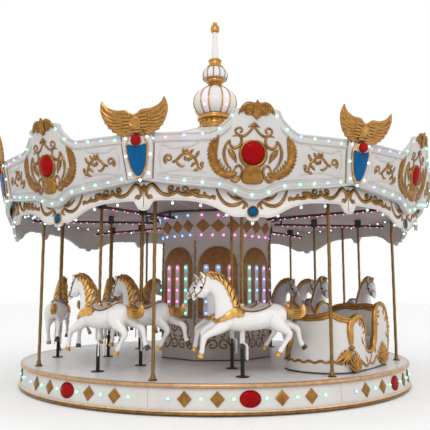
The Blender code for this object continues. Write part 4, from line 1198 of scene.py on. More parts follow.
# %% Bulbs under the ceiling
bar_lamps = []
for k in range(SECTORS):
    for i in range(18):
        place = Vector((0.024 if i % 2 else -0.024, -(1.15 + i * 0.105), 2.48))
        bar_lamps.append(moved(moved(bulb(0.0075), Matrix.Translation(place)), turned_by(k * SECTOR)))
rim_lamps = []
for k in range(SECTORS * 9):
    azimuth = (k + 0.5) * 2 * pi / (SECTORS * 9)
    rim_lamps.append(moved(bulb(0.011), Matrix.Translation(polar(azimuth, 3.05, 2.592))))
show("ceiling_bulbs", [(fused(bar_lamps), LIGHTS["pink"]), (fused(rim_lamps), LIGHTS["white"])])
battens = [moved(rolls([[(0, -0.98, 2.598, 0.012), (0, -3.05, 2.598, 0.012)]], 1, steps=1),
        turned_by((k + 0.5) * SECTOR)) for k in range(SECTORS)]
show("ceiling_battens", [(fused(battens), SHADE_GREY)])

# %% Twisted poles
def twisted_tube(radius, low, high, pitch, depth=0.1, starts=3, per_turn=12, sides=12):
    """Tube with rope-like grooves that wind round it."""
    count = max(2, int((high - low) / pitch * per_turn))
    rings = []
    for i in range(count + 1):
        height = low + (high - low) * i / count
        ring = []
        for j in range(sides):
            angle = 2 * pi * j / sides
            swell = 1 - depth * (0.5 + 0.5 * cos(starts * angle - 2 * pi * (height - low) / pitch))
            ring.append((radius * swell * cos(angle), radius * swell * sin(angle), height))
        rings.append(ring)
    return loft(rings, angle=70)


BRASS = gilding("brass_tube", (0.26, 0.145, 0.046), (0.17, 0.093, 0.03), 0.3, 0.9)
pole_shaft = twisted_tube(0.0225, DECK_TOP + 0.05, CEILING - 0.0003, 0.26, 0.1, 3, 7, 12)
pole_foot = lathe([(0, 0.0003), (0.055, 0.0003), (0.056, 0.008), (0.04, 0.016), (0.03, 0.034),
        (0.032, 0.044), (0.027, 0.052), (0.025, 0.075), (0, 0.075)], 20, closed=False)
pole_head = lathe([(0, 0), (0.024, 0), (0.03, 0.012), (0.028, 0.03), (0.045, 0.055), (0.046, 0.0697),
        (0, 0.0697)], 20, closed=False)
pole = fused([pole_shaft, moved(pole_foot, Matrix.Translation((0, 0, DECK_TOP))),
        moved(pole_head, Matrix.Translation((0, 0, CEILING - 0.07)))])
POLE_CIRCLE = 2.82
standing = moved(smooth(pole), Matrix.Translation(polar(0, POLE_CIRCLE, 0)))
show("canopy_poles", [(around(standing, SECTOR / 2), BRASS)],
    nodes=[f"canopy_pole_{k + 1}" for k in range(SECTORS)])

# %% [markdown]
# ## Roof and onion dome
# The canopy is topped by two ribbed bulbs and a spire. Each gore between two ribs swells a little, as
# sheet metal gores do. On the large bulb wide plain gores take turns with narrower lit ones.

# %% Gores
def bulb_profile(centre, half_height, radius, low, high, rings):
    """Part of an ellipse between two heights, as (radius, height) points."""
    start, end = asin((low - centre) / half_height), asin((high - centre) / half_height)
    return [(radius * cos(start + (end - start) * i / rings),
            centre + half_height * sin(start + (end - start) * i / rings)) for i in range(rings + 1)]


def gore_edges(wide, narrow):
    """Azimuths of the ribs, from the widths of the wide and the narrow gores in degrees."""
    edges, angle = [], -wide / 2
    for _ in range(round(360 / (wide + narrow))):
        edges += [angle, angle + wide]
        angle += wide + narrow
    return [radians(edge) for edge in edges]


def gores(profile, edges, first, swell=0.035, steps=8):
    """Every second gore of a bulb, from edge to edge, swelling between its ribs."""
    parts = []
    for k in range(first, len(edges), 2):
        start = edges[k]
        end = edges[k + 1] if k + 1 < len(edges) else edges[0] + 2 * pi
        shape = bmesh.new()
        rows = []
        for radius, height in profile:
            row = []
            for i in range(steps + 1):
                share = i / steps
                out = 1 + swell * (sin(pi * share) ** 0.7 if 0 < share < 1 else 0)
                row.append(shape.verts.new(polar(start + (end - start) * share, radius * out, height)))
            rows.append(row)
        for low, high in zip(rows, rows[1:]):
            for i in range(steps):
                shape.faces.new((low[i], low[i + 1], high[i + 1], high[i]))
        mesh = bpy.data.meshes.new("gore")
        bmesh.ops.recalc_face_normals(shape, faces=shape.faces)
        middle = len(shape.faces) // 2
        shape.faces.ensure_lookup_table()
        face = shape.faces[middle]
        if face.normal.dot(Vector((face.calc_center_median().x, face.calc_center_median().y, 0))) < 0:
            bmesh.ops.reverse_faces(shape, faces=shape.faces)
        shape.to_mesh(mesh)
        shape.free()
        parts.append(smooth(mesh, 60))
    return fused(parts)


def ribs(profile, edges, width, out=0.004):
    """Rounded rib over each joint between two gores."""
    return rolls([[(*polar(edge, radius + out, height), width) for radius, height in profile]
            for edge in edges], 1, steps=1)


def glowing_panel(name, colour, strength):
    made, tree, shader, where = finish(name, 0.35, coat=0.2)
    tone = ramp(tree, noise(tree, where, 6.0, 4.0), [(0.3, tuple(c * 0.92 for c in colour)),
            (0.7, colour)])
    tree.links.new(tone, shader.inputs["Base Color"])
    tree.links.new(tone, shader.inputs["Emission Color"])
    shader.inputs["Emission Strength"].default_value = strength
    return made


LIT_GORE = glowing_panel("lit_gore", (0.79, 0.69, 0.755), 0.08)
DOME_WHITE = lacquer("dome_paint", (0.72, 0.7, 0.68), (0.66, 0.64, 0.615))
onion_profile = bulb_profile(4.575, 0.303, 0.367, 4.361, 4.853, 18)
ONION_TURN = radians(-6.0)
onion_edges = [edge + ONION_TURN for edge in gore_edges(37, 23)]
onion_core = lathe([(0, 4.3603)] + [(radius - 0.006, height) for radius, height in onion_profile] +
    [(0.113, 4.88), (0, 4.88)], 48, closed=False)
show("onion_dome", [(gores(onion_profile, onion_edges, 0), DOME_WHITE),
        (gores(onion_profile, onion_edges, 1), LIT_GORE), (onion_core, WHITE)],
    nodes=["dome_onion"])
show("onion_ribs", [(ribs(onion_profile, onion_edges, 0.0115, 0.006), BRIGHT_GOLD)])
gore_lamps = []
for k in range(1, len(onion_edges), 2):
    start = onion_edges[k]
    end = onion_edges[(k + 1) % len(onion_edges)] + (2 * pi if k + 1 == len(onion_edges) else 0)
    for radius, height in ((0.359, 4.465), (0.379, 4.615)):
        gore_lamps.append(moved(bulb(0.016), Matrix.Translation(polar((start + end) / 2, radius + 0.004,
                        height))))
show("onion_bulbs", [(fused(gore_lamps), LIGHTS["soft"])])

# %% Rings, cup, small bulb and spire
base = lathe([(0, 4.0503), (0.3, 4.0503), (0.311, 4.06), (0.315, 4.083), (0.31, 4.106), (0.297, 4.12),
        (0.303, 4.132), (0.3, 4.146), (0.284, 4.158), (0.272, 4.168), (0.264, 4.184), (0.259, 4.214),
        (0.264, 4.242), (0.277, 4.26), (0.291, 4.268), (0.302, 4.284), (0.303, 4.3), (0.296, 4.314),
        (0.286, 4.322), (0.288, 4.334), (0.281, 4.347), (0.262, 4.3597), (0, 4.3597)], 64, closed=False,
    angle=50)
drops = []
for k in range(18):
    azimuth = 2 * pi * k / 18
    scroll = carved([volute((0, 4.203), 0.026, 90, 330, 0.007, steps=7),
            [(-0.03, 4.212, 0.005), (0, 4.236, 0.007), (0.03, 4.212, 0.005)]], 0.7, 1, 2)
    drops.append(bent(scroll, lambda _height: 0.262, azimuth))
show("dome_ring", [(base, BRIGHT_GOLD), (fused(drops), GOLD)], nodes=["dome_base"])

cup = lathe([(0, 4.8803), (0.122, 4.8803), (0.13, 4.892), (0.116, 4.91), (0.11, 4.924), (0.128, 4.942),
        (0.15, 4.955), (0.157, 4.969), (0.153, 4.989), (0.15, 5.002), (0.158, 5.012), (0.15, 5.022),
        (0, 5.022)], 48, closed=False, angle=50)
small_profile = bulb_profile(5.073, 0.172, 0.214, 5.011, 5.211, 12)
small_edges = [radians(-15 + 30 * k) for k in range(12)]
small_core = lathe([(0, 5.006)] + [(radius - 0.005, height) for radius, height in small_profile] +
    [(0, 5.215)], 40, closed=False)
collar = lathe([(0, 5.205), (0.14, 5.205), (0.149, 5.214), (0.144, 5.229), (0.121, 5.238), (0.105, 5.256),
        (0.101, 5.295), (0.105, 5.322), (0.115, 5.331), (0.114, 5.347), (0.101, 5.3597), (0, 5.3597)], 40,
    closed=False, angle=50)
show("small_bulb", [(gores(small_profile, small_edges, 0, 0.05, 6), DOME_WHITE),
        (gores(small_profile, small_edges, 1, 0.05, 6), DOME_WHITE), (small_core, WHITE)],
    nodes=["dome_lantern"])
show("small_bulb_gilding", [(ribs(small_profile, small_edges, 0.0085, 0.003), GOLD), (cup, BRIGHT_GOLD),
        (collar, BRIGHT_GOLD)])
mast = lathe([(0, 5.3603), (0.068, 5.3603), (0.066, 5.375), (0.041, 5.862), (0, 5.862)], 32, closed=False)
tip = lathe([(0, 5.856), (0.04, 5.856), (0.062, 5.868), (0.073, 5.885), (0.079, 5.915), (0.078, 5.945),
        (0.068, 5.975), (0.048, 5.994), (0.036, 6.0), (0.042, 6.01), (0.043, 6.024), (0.034, 6.042),
        (0.018, 6.051), (0, 6.054)], 32, closed=False, angle=60)
show("spire_mast", [(mast, DOME_WHITE)], nodes=["spire"])
show("spire_tip", [(tip, BRIGHT_GOLD)])

# %% Roof ribs
paint_node("roof", WHITE)
roof_ribs = [moved(rolls([[(0, -3.32, 3.014, 0.016), (0, -0.46, 4.046, 0.012)]], 1, steps=1),
        turned_by((k + 0.5) * SECTOR / 2)) for k in range(SECTORS * 2)]
show("roof_ribs", [(fused(roof_ribs), WHITE)])
# Painted shadow: a dark ring on the roof's top, under the dome's base, stands for the shadow gap there.
cap = lathe([(0.318, 4.0503), (0.446, 4.0503), (0.44, 4.064), (0.318, 4.066)], 48)
show("roof_shadow_ring", [(cap, STEEL)])

# %% [markdown]
# ## Galloping horses
# The horses are fibreglass, cast from one mould and painted one by one. Here the mould is made once: oval
# sections of the body and the neck, round limbs, and a head. They are melted together by a voxel remesh
# and smoothed, which gives the soft joints of a casting. Harness, mane and tail are strokes laid on top.

# %% Body of the horse
def oval_rings(sections, sides=16):
    """Oval rings through the top and the bottom points of a side view."""
    rings = []
    for top, bottom, half_width in sections:
        top, bottom = Vector((top[0], 0, top[1])), Vector((bottom[0], 0, bottom[1]))
        middle, reach = (top + bottom) / 2, (top - bottom) / 2
        ring = []
        for i in range(sides):
            angle = 2 * pi * i / sides
            ring.append(middle + reach * cos(angle) + Vector((0, half_width * sin(angle), 0)))
        rings.append(ring)
    return rings


def smooth_sections(sections, steps=4):
    flat = [(*top, *bottom, width) for top, bottom, width in sections]
    return [((a, b), (c, d), width) for a, b, c, d, width in flowing(flat, steps)]


def limb(path, sides=12, steps=4):
    """Tapering limb through (x, y, z, radius) points."""
    path = flowing(path, steps)
    rings = []
    for i, (x, y, z, radius) in enumerate(path):
        along = (Vector(path[min(i + 1, len(path) - 1)][:3]) -
            Vector(path[max(i - 1, 0)][:3])).normalized()
        side = Vector((0, 1, 0))
        up = along.cross(side).normalized()
        rings.append([Vector((x, y, z)) + radius * (up * cos(j * 2 * pi / sides) +
                    side * 0.92 * sin(j * 2 * pi / sides)) for j in range(sides)])
    return loft(rings)


HORSE_BODY = [((-0.555, 0.775), (-0.55, 0.7), 0.03), ((-0.53, 0.82), (-0.535, 0.655), 0.085),
    ((-0.48, 0.858), (-0.5, 0.615), 0.122), ((-0.4, 0.878), (-0.42, 0.59), 0.14),
    ((-0.32, 0.868), (-0.34, 0.58), 0.142), ((-0.2, 0.828), (-0.2, 0.557), 0.134),
    ((-0.1, 0.812), (-0.08, 0.546), 0.132), ((0.0, 0.828), (0.03, 0.542), 0.133),
    ((0.05, 0.872), (0.15, 0.555), 0.134), ((0.062, 0.93), (0.27, 0.592), 0.128),
    ((0.078, 0.985), (0.332, 0.685), 0.112), ((0.102, 1.045), (0.34, 0.785), 0.096),
    ((0.148, 1.118), (0.34, 0.875), 0.082), ((0.212, 1.18), (0.352, 0.945), 0.07),
    ((0.29, 1.226), (0.38, 0.995), 0.064), ((0.37, 1.235), (0.42, 1.03), 0.058)]
HORSE_HEAD = [((0.375, 1.205), (0.385, 1.02), 0.035), ((0.42, 1.226), (0.408, 0.985), 0.056),
    ((0.465, 1.215), (0.446, 0.955), 0.063), ((0.507, 1.185), (0.482, 0.943), 0.06),
    ((0.542, 1.135), (0.512, 0.947), 0.051), ((0.568, 1.085), (0.536, 0.95), 0.042),
    ((0.592, 1.035), (0.557, 0.938), 0.036), ((0.61, 1.0), (0.58, 0.918), 0.036),
    ((0.62, 0.975), (0.597, 0.908), 0.032), ((0.621, 0.955), (0.608, 0.915), 0.016)]
LEGS = {"near_fore": [(0.17, 0.055, 0.68, 0.09), (0.26, 0.072, 0.605, 0.076),
        (0.345, 0.078, 0.555, 0.056), (0.43, 0.078, 0.514, 0.043), (0.466, 0.078, 0.484, 0.041),
        (0.482, 0.078, 0.43, 0.031), (0.495, 0.078, 0.36, 0.028), (0.504, 0.078, 0.316, 0.033),
        (0.513, 0.078, 0.288, 0.03)], "far_fore": [(0.19, -0.055, 0.7, 0.09),
        (0.28, -0.072, 0.645, 0.074), (0.365, -0.078, 0.6, 0.053), (0.432, -0.078, 0.566, 0.041),
        (0.464, -0.078, 0.532, 0.04), (0.473, -0.078, 0.475, 0.03), (0.481, -0.078, 0.405, 0.027),
        (0.484, -0.078, 0.352, 0.032), (0.486, -0.078, 0.318, 0.029)],
    "near_hind": [(-0.35, 0.065, 0.72, 0.118), (-0.43, 0.08, 0.63, 0.092), (-0.505, 0.084, 0.572, 0.062),
        (-0.563, 0.084, 0.524, 0.043), (-0.56, 0.084, 0.476, 0.037), (-0.518, 0.084, 0.415, 0.029),
        (-0.476, 0.084, 0.35, 0.029), (-0.453, 0.084, 0.318, 0.034), (-0.437, 0.084, 0.293, 0.031)],
    "far_hind": [(-0.38, -0.065, 0.73, 0.118), (-0.47, -0.08, 0.67, 0.092), (-0.575, -0.084, 0.625, 0.06),
        (-0.665, -0.084, 0.592, 0.043), (-0.708, -0.084, 0.56, 0.041), (-0.729, -0.084, 0.5, 0.031),
        (-0.742, -0.084, 0.43, 0.029), (-0.764, -0.084, 0.38, 0.034), (-0.784, -0.084, 0.352, 0.03)]}


def melted(meshes, voxel, rounds, faces):
    """One cast body from overlapping solids: remeshed, smoothed and thinned."""
    item = bpy.data.objects.new("casting", fused(meshes))
    bpy.context.collection.objects.link(item)
    change = item.modifiers.new("melt", "REMESH")
    change.mode = "VOXEL"
    change.voxel_size = voxel
    change = item.modifiers.new("soften", "SMOOTH")
    change.factor = 0.5
    change.iterations = rounds
    bpy.context.view_layer.update()
    graph = bpy.context.evaluated_depsgraph_get()
    count = len(item.evaluated_get(graph).data.polygons) * 2
    change = item.modifiers.new("thin", "DECIMATE")
    change.ratio = min(1.0, faces / count)
    bpy.context.view_layer.update()
    graph = bpy.context.evaluated_depsgraph_get()
    mesh = bpy.data.meshes.new_from_object(item.evaluated_get(graph), depsgraph=graph)
    bpy.data.objects.remove(item)
    return smooth(mesh, 60)


ears = [limb([(0.462, side * 0.036, 1.19, 0.021), (0.482, side * 0.042, 1.216, 0.02),
            (0.503, side * 0.044, 1.24, 0.013), (0.518, side * 0.042, 1.262, 0.004)], 8, 2)
    for side in (1, -1)]
brow = [limb([(0.488, side * 0.044, 1.118, 0.016), (0.518, side * 0.049, 1.108, 0.018),
            (0.545, side * 0.043, 1.083, 0.01)], 8, 2) for side in (1, -1)]
cheeks = [limb([(0.428, side * 0.04, 1.045, 0.032), (0.452, side * 0.046, 1.025, 0.036),
            (0.478, side * 0.041, 1.0, 0.027)], 8, 2) for side in (1, -1)]
haunches = [limb([(-0.28, side * 0.075, 0.765, 0.06), (-0.38, side * 0.085, 0.745, 0.088),
            (-0.47, side * 0.07, 0.7, 0.07)], 10, 3) for side in (1, -1)]
shoulders = [limb([(0.1, side * 0.075, 0.79, 0.05), (0.19, side * 0.08, 0.72, 0.072),
            (0.27, side * 0.075, 0.65, 0.058)], 10, 3) for side in (1, -1)]
nostrils = [limb([(0.59, side * 0.024, 0.988, 0.013), (0.607, side * 0.026, 0.972, 0.012)], 8, 2)
    for side in (1, -1)]
casting = melted([loft(oval_rings(smooth_sections(HORSE_BODY))),
        loft(oval_rings(smooth_sections(HORSE_HEAD)))] + [limb(path) for path in LEGS.values()] + ears +
    brow + cheeks + haunches + shoulders + nostrils, 0.0085, 6, 9000)
print("The casting has", len(casting.polygons), "faces")

# %% [markdown]
# Mane, tail and harness are laid on the skin. The casting's surface is kept as a search tree, so that a
# lock of hair or a strap can be drawn beside the horse and dropped onto it from the side.

# %% The skin, and hooves
from mathutils.bvhtree import BVHTree

skin_shape = bmesh.new()
skin_shape.from_mesh(casting)
skin = BVHTree.FromBMesh(skin_shape)


def on_skin(point, lift=0.003):
    """Nearest place on the horse's skin, lifted a little."""
    place, normal, _, _ = skin.find_nearest(Vector(point))
    return place + normal * lift, normal


def beside(x, z, side, lift):
    """Point on the flank at (x, z), or close to the middle where the side view passes the skin's edge."""
    place = skin.ray_cast(Vector((x, side * 0.5, z)), Vector((0, -side, 0)))[0]
    reach = abs(place.y) if place else 0.0
    return (x, side * (reach + lift), z)


def hoof(ankle, foot, radius=0.036):
    """Flared hoof from the ankle down to a flat sole."""
    along = (Vector(foot) - Vector(ankle)).normalized()
    made = lathe([(0, 0), (radius * 0.8, 0), (radius * 0.94, -0.008), (radius * 0.88, -0.014),
            (radius * 1.05, -0.045), (radius * 1.1, -0.052), (0, -0.052)], 16, closed=False)
    turn = Vector((0, 0, -1)).rotation_difference(along).to_matrix().to_4x4()
    return moved(made, Matrix.Translation(Vector(ankle)) @ turn)


hooves = {"near_fore": hoof((0.51, 0.078, 0.297), (0.522, 0.078, 0.246)),
    "far_fore": hoof((0.486, -0.078, 0.328), (0.488, -0.078, 0.28)),
    "near_hind": hoof((-0.441, 0.084, 0.3), (-0.421, 0.084, 0.262)),
    "far_hind": hoof((-0.778, -0.084, 0.364), (-0.803, -0.084, 0.33))}

# %% [markdown]
# The mane is a thick fall of wavy locks. Each lock leaves the crest of the neck, runs down along it, and
# ends in a hook at the mane's inner edge. The tail is a plume of strands between an upper and a lower
# edge, curled up at its tip.

# %% Mane and tail
CREST = [(0.455, 1.232), (0.425, 1.256), (0.387, 1.262), (0.308, 1.247), (0.218, 1.199), (0.149, 1.112),
    (0.102, 1.017), (0.066, 0.92), (0.05, 0.858)]
crest_path = flowing(CREST, 10)
crest_reach = [0.0]
for first, second in zip(crest_path, crest_path[1:]):
    crest_reach.append(crest_reach[-1] + sqrt((second[0] - first[0]) ** 2 + (second[1] - first[1]) ** 2))


def crest_point(reach, inward):
    """Side-view point at a distance along the crest, moved in over the neck."""
    i = min(range(len(crest_reach) - 1), key=lambda k: abs(crest_reach[k] - reach))
    (x0, z0), (x1, z1) = crest_path[i], crest_path[i + 1]
    length = sqrt((x1 - x0) ** 2 + (z1 - z0) ** 2)
    return x0 - (z1 - z0) / length * inward, z0 + (x1 - x0) / length * inward


mane = [limb([(x - 0.004, 0.0, z - 0.022, 0.022) for x, z in CREST], 10, 3)]
locks = []
count = 14
for side in (1, -1):
    for i in range(count):
        start = i * (crest_reach[-1] - 0.07) / (count - 1)
        lock = []
        for ahead, inward, lift, width in ((0.0, 0.004, 0.002, 0.012), (0.03, 0.014, 0.008, 0.017),
                (0.062, 0.034, 0.014, 0.018), (0.092, 0.06, 0.013, 0.016), (0.118, 0.08, 0.009, 0.012),
                (0.15, 0.082, 0.007, 0.004)):
            reach = min(start + ahead, crest_reach[-1] - 0.004)
            x, z = crest_point(reach, inward - 0.01 * (i % 2))
            lock.append((*beside(x, z, side, lift), width))
        locks.append(lock)
        x, z = crest_point(min(start + 0.02, crest_reach[-1] - 0.05), 0.0)
        tail_x, tail_z = crest_point(min(start + 0.075, crest_reach[-1] - 0.004), 0.012)
        locks.append([(x, side * 0.006, z - 0.004, 0.01), ((x + tail_x) / 2, side * 0.022,
                    (z + tail_z) / 2 + 0.004, 0.015), (tail_x, side * 0.034, tail_z, 0.006)])
forelock = [[(0.44, y, 1.244, 0.012), (0.475, y * 1.4, 1.238, 0.014), (0.508, y * 1.6, 1.214, 0.01),
        (0.528, y, 1.178, 0.004)] for y in (-0.018, 0.0, 0.018)]
PLUME_TOP = [(-0.495, 0.84), (-0.565, 0.826), (-0.635, 0.802), (-0.69, 0.794), (-0.732, 0.808),
    (-0.757, 0.842), (-0.766, 0.872)]
PLUME_LOW = [(-0.5, 0.8), (-0.548, 0.752), (-0.615, 0.708), (-0.695, 0.696), (-0.762, 0.726),
    (-0.797, 0.782), (-0.788, 0.846)]
PLUME_SPREAD = (0.01, 0.024, 0.034, 0.034, 0.028, 0.018, 0.006)
PLUME_WIDTH = (0.01, 0.012, 0.0128, 0.0122, 0.0105, 0.008, 0.004)
plume = []
for lane in range(5):
    for side in (-1, 0, 1):
        share = min(1.0, max(0.0, (lane + 0.5 * abs(side)) / 4.4))
        plume.append([(x0 + (x1 - x0) * share, side * spread * (1 - 0.4 * abs(2 * share - 1)),
                    z0 + (z1 - z0) * share, width) for (x0, z0), (x1, z1), spread, width in zip(PLUME_TOP,
                    PLUME_LOW, PLUME_SPREAD, PLUME_WIDTH)])

# %% [markdown]
# Harness is laid on the skin. Each strap is drawn as points beside the horse, pulled onto the casting's
# surface from the side, and swept as a flat band.

# %% Harness and saddle
def width_at(width, share):
    """Half width of a strap at a share of its length, from one value or from a list of them."""
    if not isinstance(width, list):
        return width
    place = share * (len(width) - 1)
    low = min(int(place), len(width) - 2)
    return width[low] + (width[low + 1] - width[low]) * (place - low)


def strap(points, width, thickness=0.006, steps=5, both=True):
    """Flat band on the skin along (x, y, z) points, on one side or on both."""
    made = []
    for side in ((1, -1) if both else (1,)):
        rings = []
        line = flowing([(x, side * y, z) for x, y, z in points], steps)
        places = [on_skin(point) for point in line]
        for i, (place, normal) in enumerate(places):
            along = (places[min(i + 1, len(places) - 1)][0] - places[max(i - 1, 0)][0]).normalized()
            across = along.cross(normal).normalized()
            half = width_at(width, i / (len(places) - 1))
            rings.append([place + across * half, place + across * half * 0.8 + normal * thickness,
                    place - across * half * 0.8 + normal * thickness, place - across * half,
                    place - across * half - normal * 0.006, place + across * half - normal * 0.006])
        made.append(loft(rings, angle=50))
    return fused(made)


def blanket(rows, lift=0.007, steps=3):
    """Shell on the skin through rows of (x, y, z) points, with a thickness under it."""
    smooth_rows = [flowing(row, steps) for row in rows]
    shape = bmesh.new()
    grid = [[on_skin(point, lift)[0] for point in row] for row in smooth_rows]
    under = [[on_skin(point, -0.004)[0] for point in row] for row in smooth_rows]
    top = [[shape.verts.new(point) for point in row] for row in grid]
    low = [[shape.verts.new(point) for point in row] for row in under]
    count, last = len(top[0]), len(top) - 1
    for r in range(last):
        for i in range(count - 1):
            shape.faces.new((top[r][i], top[r][i + 1], top[r + 1][i + 1], top[r + 1][i]))
            shape.faces.new((low[r][i], low[r + 1][i], low[r + 1][i + 1], low[r][i + 1]))
    for r in range(last):
        shape.faces.new((top[r][0], top[r + 1][0], low[r + 1][0], low[r][0]))
        shape.faces.new((top[r][-1], low[r][-1], low[r + 1][-1], top[r + 1][-1]))
    for i in range(count - 1):
        shape.faces.new((top[0][i], low[0][i], low[0][i + 1], top[0][i + 1]))
        shape.faces.new((top[last][i], top[last][i + 1], low[last][i + 1], low[last][i]))
    return to_mesh(shape, 50)


def saddle_row(x, top, drop, width):
    """Points over the horse's back from one flank to the other."""
    return [(x, -width, top - drop), (x, -width, top - drop * 0.55), (x, -width * 0.6, top - 0.02),
        (x, 0, top + 0.05), (x, width * 0.6, top - 0.02), (x, width, top - drop * 0.55),
        (x, width, top - drop)]


saddle = blanket([saddle_row(0.045, 0.885, 0.035, 0.08), saddle_row(0.01, 0.865, 0.04, 0.1),
        saddle_row(-0.06, 0.84, 0.038, 0.108), saddle_row(-0.15, 0.835, 0.034, 0.108),
        saddle_row(-0.24, 0.852, 0.034, 0.105), saddle_row(-0.32, 0.876, 0.026, 0.09)], 0.012)
saddle_edge = strap([(0.055, 0.02, 0.905), (0.048, 0.075, 0.858), (0.0, 0.104, 0.826),
        (-0.08, 0.112, 0.806), (-0.17, 0.112, 0.806), (-0.25, 0.106, 0.822), (-0.315, 0.09, 0.855),
        (-0.35, 0.05, 0.884), (-0.358, 0.0, 0.892)], 0.006, 0.014)
cantle = limb([(-0.335, -0.085, 0.862, 0.009), (-0.352, -0.05, 0.888, 0.015), (-0.358, 0.0, 0.897, 0.017),
        (-0.352, 0.05, 0.888, 0.015), (-0.335, 0.085, 0.862, 0.009)], 8, 3)
pommel = limb([(0.062, -0.05, 0.895, 0.01), (0.056, 0.0, 0.912, 0.016), (0.062, 0.05, 0.895, 0.01)], 8, 3)
breast = strap([(0.338, 0.0, 0.672), (0.326, 0.06, 0.668), (0.292, 0.12, 0.688), (0.225, 0.15, 0.722),
        (0.15, 0.16, 0.755), (0.085, 0.15, 0.78), (0.035, 0.15, 0.79), (-0.005, 0.15, 0.77)],
    [0.024, 0.026, 0.03, 0.036, 0.046, 0.062, 0.07, 0.03], 0.007)
bridle = [strap([(0.448, 0.0, 1.24), (0.462, 0.06, 1.17), (0.484, 0.08, 1.1), (0.516, 0.08, 1.035),
            (0.548, 0.07, 0.992), (0.574, 0.06, 0.964)], 0.0065, 0.004),
    strap([(0.516, 0.0, 1.18), (0.507, 0.06, 1.14), (0.48, 0.08, 1.115)], 0.005, 0.004),
    strap([(0.59, 0.0, 1.04), (0.578, 0.05, 0.995), (0.556, 0.05, 0.955), (0.542, 0.0, 0.94)], 0.005,
        0.004)]
bits = []
for side in (1, -1):
    place, _ = on_skin((0.576, side * 0.06, 0.962), 0.004)
    ring = [(place.x + 0.013 * cos(2 * pi * i / 12), place.y, place.z + 0.013 * sin(2 * pi * i / 12),
            0.0032) for i in range(12)]
    bits.append(rolls([ring], 0, cyclic=True, steps=1))
eyes = []
for side in (1, -1):
    place, _ = on_skin((0.523, side * 0.08, 1.07), -0.005)
    ball = bmesh.new()
    bmesh.ops.create_icosphere(ball, subdivisions=2, radius=0.0165)
    eyes.append(moved(to_mesh(ball, 180), Matrix.Translation(place)))
mouth = rolls([[(*on_skin((0.616, side * 0.03, 0.942), 0.0)[0], 0.0022),
            (*on_skin((0.594, side * 0.06, 0.942), 0.0)[0], 0.003),
            (*on_skin((0.566, side * 0.06, 0.952), 0.0)[0], 0.002)] for side in (1, -1)], 0, steps=3)
holes = rolls([[(*on_skin((0.6, side * 0.06, 0.984), 0.0)[0], 0.004),
            (*on_skin((0.609, side * 0.06, 0.972), 0.0)[0], 0.0055)] for side in (1, -1)], 0, steps=2)

# %% Pole, foot rod and footrests
GALLOP = 0.12
ROD_RADIUS = 0.014
pole_top = CEILING - DECK_TOP + 0.03 + GALLOP + 0.04
brass_pole = twisted_tube(0.021, 0.86, pole_top, 0.16, 0.14, 3, 8, 12)
pole_collar = lathe([(0, 0.825), (0.04, 0.825), (0.042, 0.84), (0.03, 0.855), (0.026, 0.875), (0, 0.875)],
    16, closed=False)
rod = lathe([(0, 0.18), (ROD_RADIUS, 0.18), (ROD_RADIUS, 0.6), (0, 0.6)], 16, closed=False)
socket = lathe([(0, 0.51), (0.027, 0.5), (0.027, 0.4), (0.03, 0.4), (0.031, 0.405), (0.031, 0.535),
        (0.04, 0.56), (0, 0.56)], 20, closed=False)
rests = rolls([[(0.004, side * 0.047, 0.56, 0.0105), (0.004, side * 0.047, 0.45, 0.0105),
            (0.0, side * 0.047, 0.415, 0.0105), (-0.02, side * 0.047, 0.398, 0.0105),
            (-0.045, side * 0.047, 0.385, 0.0105), (-0.055, side * 0.047, 0.35, 0.0105),
            (-0.055, side * 0.047, 0.204, 0.0105)] for side in (1, -1)], 1, steps=3)
SADDLE_PAINT = lacquer("saddle_paint", (0.52, 0.47, 0.45), (0.44, 0.39, 0.37), 0.3, 0.4)
EYE = enamel("eye_black", (0.01, 0.008, 0.008), (0.004, 0.004, 0.004), 0.08)
TACK = gilding("tack_gold", (0.74, 0.43, 0.125), (0.54, 0.28, 0.07), 0.3)
steed = [(casting, HORSE_WHITE), (fused(mane), TACK), (rolls(locks, 1, steps=2), TACK),
    (rolls(forelock, 1, steps=2), TACK), (rolls(plume, 1, steps=2), TACK),
    (fused([hooves["near_fore"], hooves["near_hind"]]), TACK),
    (fused([hooves["far_fore"], hooves["far_hind"]]), HOOF), (saddle, SADDLE_PAINT),
    (saddle_edge, BROWN_GOLD_WITH_SHADE), (cantle, SADDLE_PAINT), (pommel, SADDLE_PAINT), (breast, TACK),
    (fused(bridle), BROWN_GOLD_WITH_SHADE), (fused(bits), TACK), (fused(eyes), EYE), (mouth, EYE), (holes, EYE),
    (brass_pole, BRASS), (pole_collar, TACK), (rod, STEEL), (socket, HORSE_WHITE), (rests, HORSE_WHITE)]

# %% The string of horses
for k in range(SECTORS):
    if k == CHARIOT_SECTOR:
        continue
    for row, radius in (("outer", OUTER_ROW), ("inner", INNER_ROW)):
        node = f"horse_{row}_{k + 1}"
        stand = Matrix.Translation(polar(k * SECTOR, radius, DECK_TOP)) @ turned_by(k * SECTOR + pi)
        show(f"galloper_{row}_{k + 1}", [(moved(mesh, stand), paint) for mesh, paint in steed], body=node,
            nodes=[node])

# %% [markdown]
# ## Chariot
# For those who would rather sit, one sector has a car in place of horses: a curved dash, a tall back, and
# a dipping entry on each side. Its wall is lofted through stations that go round the car. Each station
# has a foot, a waist and a top. In front the wall stands up as a skirt and then curves in over it. The
# gilding follows those stations.

